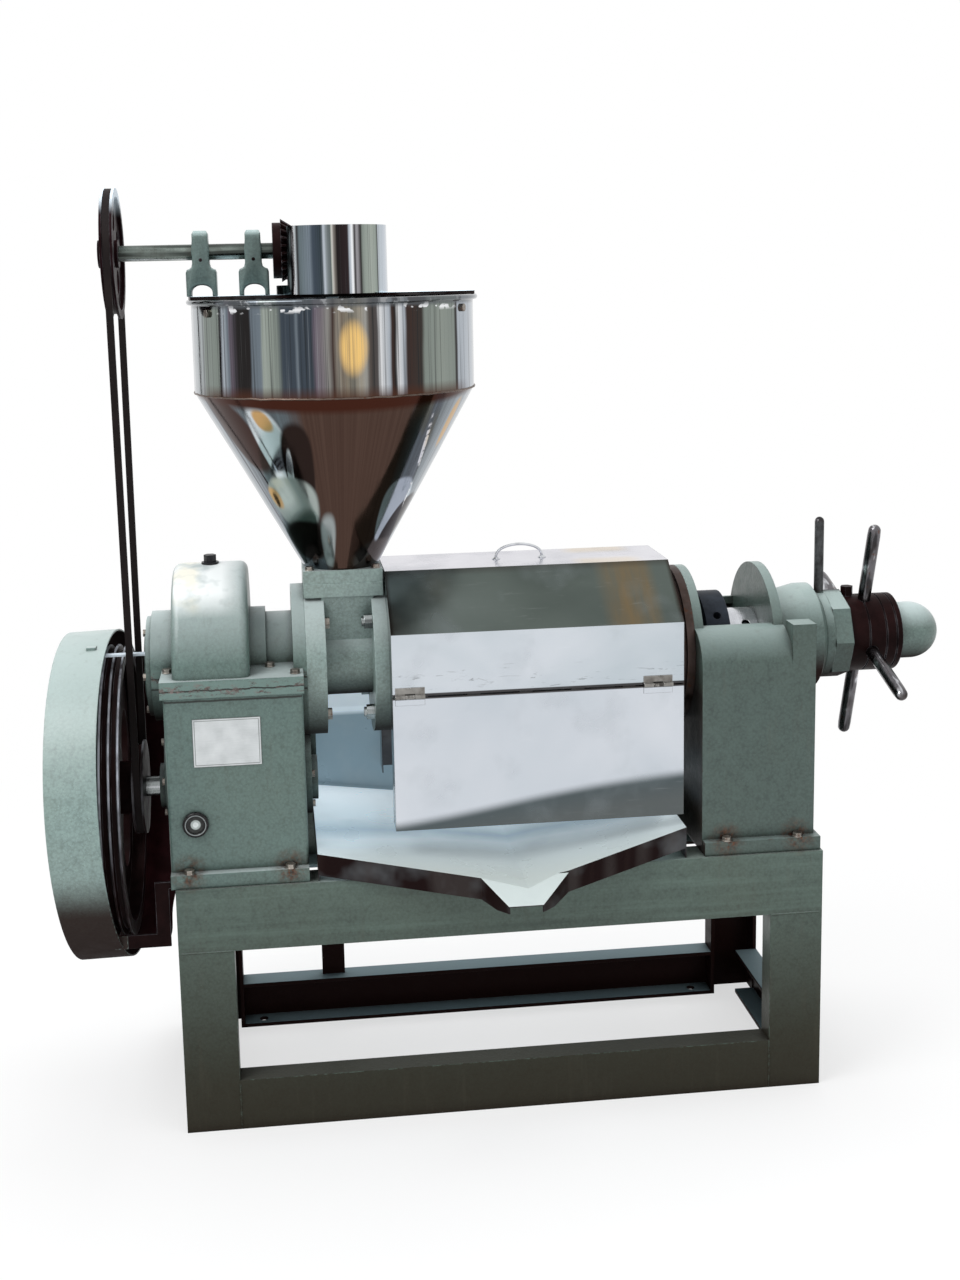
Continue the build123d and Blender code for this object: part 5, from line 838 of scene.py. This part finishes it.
def lathe(profile, centre, axis=(0, 0, 1), count=96, wobble=None, ring_closed=False):
    """Turned skin: profile is (radius, height) pairs along the axis from the centre."""
    axis = Vector(axis).normalized()
    side = axis.orthogonal().normalized()
    other = axis.cross(side)
    rings = []
    for radius, height in profile:
        loop = []
        for n in range(count):
            angle = 2 * math.pi * n / count
            away = side * math.cos(angle) + other * math.sin(angle)
            extra = wobble(angle, height) if wobble else 0.0
            loop.append(Vector(centre) + away * (radius + extra) + axis * height)
        rings.append(loop)
    return endless_skin(rings) if ring_closed else skin(rings)


def circle(middle, side, other, radius, count):
    turns = [2 * math.pi * k / count for k in range(count)]
    return [middle + side * radius * math.cos(t) + other * radius * math.sin(t) for t in turns]


def arc(radius, degrees, base=0.0, tall=None):
    """(across, up) pairs on an arc about the height base; tall makes it an ellipse."""
    tall = radius if tall is None else tall
    return [(radius * math.cos(math.radians(d)), base + tall * math.sin(math.radians(d))) for d in degrees]


def tube(path, radius, count=14, blunt=0.0, closed=False):
    """Round bar along a path of points, with rounded ends if blunt is a length."""
    path = [Vector(p) for p in path]
    rings = []
    last = len(path) - 1
    lean = None
    for n, point in enumerate(path):
        before = path[n - 1] if n or closed else path[0]
        after = path[(n + 1) % len(path)] if n < last or closed else path[last]
        ahead = (after - before).normalized()
        lean = ahead.orthogonal() if lean is None else lean - ahead * lean.dot(ahead)
        side = lean = lean.normalized()
        other = ahead.cross(side)
        ends = []
        if blunt and not closed and n in (0, last):
            steps = (1.0, 0.86, 0.6, 0.3) if n == 0 else (0.3, 0.6, 0.86, 1.0)
            sign = -1 if n == 0 else 1
            for step in steps:
                share = math.sqrt(max(0.0, 1 - step * step)) or 0.08
                ends.append((point + ahead * sign * blunt * step, radius * share))
        here = (point, radius)
        for middle, size in ends + [here] if n == 0 else [here] + ends:
            rings.append(circle(middle, side, other, size, count))
    return endless_skin(rings) if closed else skin(rings)


def dents(angle, height):
    """Slight hand-rolled unevenness of the hopper sheet."""
    spot = Vector((math.cos(angle) * 1.6, math.sin(angle) * 1.6, height * 5.0))
    return 0.0011 * noise.noise(spot)


# Hopper: band with its rim bead, cone, and the solder line around their joint
hopper_axis = (HOPPER_X, 0, 0)
band_profile = [(BAND_R, z) for z in (JOINT_Z, 1.46, 1.52, 1.567)]
band_profile += [(0.274 + x, z) for x, z in arc(BEAD_R, range(-120, 91, 30), BEAD_Z)]
band_profile += [(BAND_INNER_R, z) for z in (1.578, 1.52, 1.46, 1.404)]
points, faces = lathe(band_profile, hopper_axis, count=192, wobble=dents, ring_closed=True)
piece("hopper_band", points, faces, band_mirror, "press", ("hopper_body",))
shares = [n / 10 for n in range(11)]
cone_profile = [(CONE_FOOT_R + CONE_SPREAD * s, CONE_FOOT_Z + CONE_RISE * s) for s in shares]
cone_profile += [(CONE_FOOT_INNER_R + CONE_SPREAD * s, CONE_FOOT_Z + CONE_RISE * s) for s in reversed(shares)]
points, faces = lathe(cone_profile, hopper_axis, count=192, wobble=dents, ring_closed=True)
piece("hopper_cone", points, faces, cone_mirror, "press", ("hopper_body",))

loop = []
for n in range(160):
    angle = 2 * math.pi * n / 160
    radius = BAND_R + 0.0003 + dents(angle, JOINT_Z)
    height = JOINT_Z + 0.0012 * noise.noise(Vector((n * 0.4, 0, 0)))
    loop.append((HOPPER_X + radius * math.cos(angle), radius * math.sin(angle), height))
points, faces = tube(loop, 0.0019, 8, closed=True)
piece("hopper_joint_seam", points, faces, seam_finish, "press")

# Round bow handle with small eyelets on the cover
handle_x, handle_z, half_span = 0.069, 1.051, 0.0465
arch = []
for n in range(25):
    angle = math.pi * n / 24
    rise = 0.0245 * math.sin(angle) ** 0.9 if 0 < n < 24 else 0.0
    arch.append((handle_x - half_span * math.cos(angle), 0.0, handle_z + 0.004 + rise))
points, faces = tube(arch, 0.0028, 12, blunt=0.002)
piece("cover_bow", points, faces, chrome, "press", ("cover_handle",))
eyelet = [(0.0085, 0.0), (0.0085, 0.0008), (0.0062, 0.0026), (0.0040, 0.0042)]
for n, side in enumerate((-1, 1)):
    points, faces = lathe(eyelet, (handle_x + side * half_span, 0.0, handle_z), count=24)
    piece(f"cover_bow_foot_{n}", points, faces, chrome, "press")

# Tapered handles of the adjusting nut with rounded ends
handle_root, handle_length = 0.070, 0.178
handle_profile = [
    (0.0125, 0.0), (0.0130, 0.05), (0.0130, handle_length - 0.024), (0.0124, handle_length - 0.015),
] + arc(0.0124, (15, 35, 55, 72, 84), handle_length - 0.0128)
for n in range(4):
    angle = math.radians(18.0 + 90.0 * n)
    away = Vector((0.0, math.cos(angle), math.sin(angle)))
    root = Vector((NUT_X, 0.0, AXIS_Z)) + away * handle_root
    points, faces = lathe(handle_profile, root, away, 28)
    piece(f"nut_handle_{n}", points, faces, handle_metal, "nut", ("nut_handles",))


def bracket(name, place):
    """Cast feeder bracket: forked foot, stepped shoulders, rounded head, oil hole."""
    foot_z, top, head = 1.5842, 0.1228, 0.0155
    right = [
        (0.0285, 0.0), (0.0285, 0.044), (0.0265, 0.0495), (0.0215, 0.0515), (0.0175, 0.0545), (0.0158, 0.062),
        (0.0160, 0.076), (0.0168, 0.083), (0.0160, 0.091), (0.0148, 0.104), (0.0146, 0.117), (0.0115, 0.1226),
    ]
    window = [(-0.020, 0.0)] + arc(0.020, range(180, -1, -20), 0.008, 0.013) + [(0.020, 0.0)]
    outline = right + [(-x, z) for x, z in reversed(right)] + window
    front = ((-0.031, 0.003), (-0.030, 0.0012), (-0.028, 0.0), (-0.02, 0.0), (-0.01, 0.0))
    rings = []
    for y, inset in (*front, (0.0, 0.0), *((-y, inset) for y, inset in reversed(front))):
        drop = head - math.sqrt(max(0.0, head ** 2 - max(0.0, abs(y) - head) ** 2))
        loop = []
        for n, (x, z) in enumerate(outline):
            before, after = outline[n - 1], outline[(n + 1) % len(outline)]
            away = Vector((after[1] - before[1], before[0] - after[0])).normalized()
            height = max(0.0, min(z, top - drop) - away.y * inset)
            loop.append((place + x - away.x * inset, y, foot_z + height))
        rings.append(loop)
    points, faces = skin(rings)
    piece(name, points, faces, bracket_paint, "press", ("feeder_brackets",), sharp=50.0)
    hole = [(0.0034, 0.0), (0.0034, 0.0006), (0.0026, 0.0010)]
    points, faces = lathe(hole, (place, -0.0306, 1.652), (0, -1, 0), 16)
    piece(name + "_oil_hole", points, faces, black_iron, "press")


for n, place in enumerate((-0.534, -0.435)):
    bracket(f"feeder_bracket_{n}", place)

# Rounded tip of the lock ring's bar
lock_bar_x = 0.6903
lock_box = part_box("lock_ring")
points, faces = lathe(arc(0.0095, (0, 20, 40, 60, 78, 86)), (lock_bar_x, 0.0, lock_box[1].z), count=24)
piece("lock_bar_tip", points, faces, handle_metal, "lock")


def weld(name, start, end, radius=0.0022):
    """Weld bead: a rippled half-sunk bar along a joint of the bed."""
    start, end = Vector(start), Vector(end)
    length = (end - start).length
    steps = max(8, int(length / 0.004))
    ahead = (end - start).normalized()
    side = ahead.orthogonal().normalized()
    other = ahead.cross(side)
    rings = []
    for n in range(steps + 1):
        ripple = 0.22 * abs(math.sin(n * 1.57)) + 0.25 * noise.noise(Vector((n * 0.7, radius * 900, 0)))
        size = radius * (0.80 + ripple) * (0.3 if n in (0, steps) else 1.0)
        rings.append(circle(start + ahead * length * n / steps, side, other, size, 10))
    points, faces = skin(rings)
    piece(name, points, faces, bed, "press", sharp=60.0)


# Sheet that lines the rear of the guard towards the gearbox, near-black as painted shade inside the guard
guard_low, guard_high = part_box("belt_guard")
guard_middle = (guard_low + guard_high) / 2
yaw, tilt = math.radians(4.0), math.radians(2.5)
ahead = Vector((math.cos(yaw) * math.cos(tilt), -math.sin(yaw) * math.cos(tilt), math.sin(tilt)))
rear = Vector((0.0, 1.0, 0.0))
rear = (rear - ahead * rear.dot(ahead)).normalized()
upward = ahead.cross(rear)
upward = upward if upward.z > 0 else -upward
liner_inner, liner_outer, liner_start = 0.3135, 0.3165, 0.020
rings = []
for n in range(49):
    angle = math.radians(-97.0 + 140.0 * n / 48)
    away = rear * math.cos(angle) + upward * math.sin(angle)
    reach = 0.098 + 0.004 * math.sin(n * 0.5)
    corners = (
        (liner_outer, liner_start), (liner_outer, reach), (liner_inner, reach), (liner_inner, liner_start),
    )
    rings.append([guard_middle + away * radius + ahead * along for radius, along in corners])
points, faces = skin(rings)
piece("guard_liner", points, faces, liner_black_shade, "press")

bed_front_y = -0.2285
for n, side in enumerate((-1, 1)):
    inner, outer = side * 0.521, side * 0.622
    weld(f"post_weld_{n}", (outer, bed_front_y, 0.3630), (inner, bed_front_y, 0.3630))
    weld(f"rail_weld_{n}", (inner, bed_front_y, 0.004), (inner, bed_front_y, 0.098))


# -------- studio

def plain_rays(made):
    """1 for the camera's rays and those that metal and glass send on, so that these see the backdrop."""
    seen = made.add("ShaderNodeLightPath", out="Is Camera Ray")
    path = seen.node
    for other in ("Is Glossy Ray", "Is Transmission Ray"):
        seen = made.add("ShaderNodeMath", {0: seen, 1: path.outputs[other]}, operation="MAXIMUM")
    return seen


def backdrop():
    """World: white to the eye, softer as a light."""
    world = bpy.data.worlds.new("studio_world")
    scene.world = world
    world.use_nodes = True
    made = Nodes(world.node_tree)
    background = made.tree.nodes["Background"]
    level = made.add("ShaderNodeMapRange", {0: plain_rays(made), 3: 0.58, 4: 1.0})
    made.put(background.inputs["Strength"], level)
    made.put(background.inputs["Color"], (1.0, 1.0, 1.0))


def stage_floor():
    """Pale floor that keeps the shadow near the machine and turns white further out."""
    mesh = bpy.data.meshes.new("studio_floor")
    mesh.from_pydata([(-14, -9, 0), (14, -9, 0), (14, 30, 0), (-14, 30, 0)], [], [(0, 1, 2, 3)])
    floor = bpy.data.objects.new("studio_floor", mesh)
    scene.collection.objects.link(floor)
    material = bpy.data.materials.new("floor_finish")
    material.use_nodes = True
    material.node_tree.nodes.clear()
    made = Nodes(material.node_tree)
    place = made.add("ShaderNodeTexCoord", out="Object")
    away = made.add("ShaderNodeVectorMath", {0: place}, out="Value", operation="LENGTH")
    near, far, near_share = 0.5, 2.4, 0.62
    reach = {0: away, 1: near, 2: far, 3: near_share, 4: 1.0}
    glowing = made.add("ShaderNodeMapRange", reach, interpolation_type="SMOOTHSTEP")
    share = made.add("ShaderNodeMath", {0: plain_rays(made), 1: glowing}, operation="MULTIPLY")
    matt = made.add("ShaderNodeBsdfDiffuse", {"Color": (0.86, 0.865, 0.87)})
    glow = made.add("ShaderNodeEmission", {"Strength": 1.0})
    blend = made.add("ShaderNodeMixShader", {0: share, 1: matt, 2: glow})
    made.put(made.tree.nodes.new("ShaderNodeOutputMaterial").inputs["Surface"], blend)
    mesh.materials.append(material)


def lamps():
    for name, at, aim, size, power, mirrored in (
        ("key_light", (-2.8, -1.6, 4.2), (0.0, 0.0, 0.9), 2.8, 120.0, True),
        ("top_light", (0.4, 0.9, 4.6), (0.0, 0.0, 1.0), 3.2, 120.0, False),
        ("fill_light", (3.4, -3.0, 2.2), (0.0, 0.0, 0.8), 2.4, 30.0, False),
    ):
        lamp = bpy.data.lights.new(name, "AREA")
        lamp.shape = "DISK"
        lamp.size = size
        lamp.energy = power
        holder = bpy.data.objects.new(name, lamp)
        scene.collection.objects.link(holder)
        holder.visible_glossy = mirrored
        ahead = (Vector(aim) - Vector(at)).normalized()
        holder.matrix_world = Matrix.Translation(at) @ ahead.to_track_quat("-Z", "Y").to_matrix().to_4x4()


def camera():
    """View of 960 by 1280: focal length in pixels, principal point and turns as fitted."""
    focal, cx, cy, yaw, pitch, roll = 1550.0, 440.4875, 518.3226, 0.1067, 0.1575, 0.0222
    wide, high, sensor = 960.0, 1280.0, 36.0
    ahead = Vector((math.sin(yaw) * math.cos(pitch), math.cos(yaw) * math.cos(pitch), -math.sin(pitch)))
    right = Vector((math.cos(yaw), -math.sin(yaw), 0.0))
    down = ahead.cross(right)
    right_rolled = right * math.cos(roll) + down * math.sin(roll)
    down_rolled = down * math.cos(roll) - right * math.sin(roll)
    data = bpy.data.cameras.new("photo_camera")
    data.sensor_width = sensor
    data.lens = focal * sensor / high
    data.shift_x = (wide / 2 - cx) / high
    data.shift_y = (cy - high / 2) / high
    data.clip_end = 100.0
    holder = bpy.data.objects.new("photo_camera", data)
    scene.collection.objects.link(holder)
    turn = Matrix((right_rolled, -down_rolled, -ahead)).transposed().to_4x4()
    holder.matrix_world = Matrix.Translation((-0.41052, -3.01970, 1.61971)) @ turn
    scene.camera = holder


backdrop()
stage_floor()
lamps()
camera()
scene.view_settings.view_transform = "Standard"
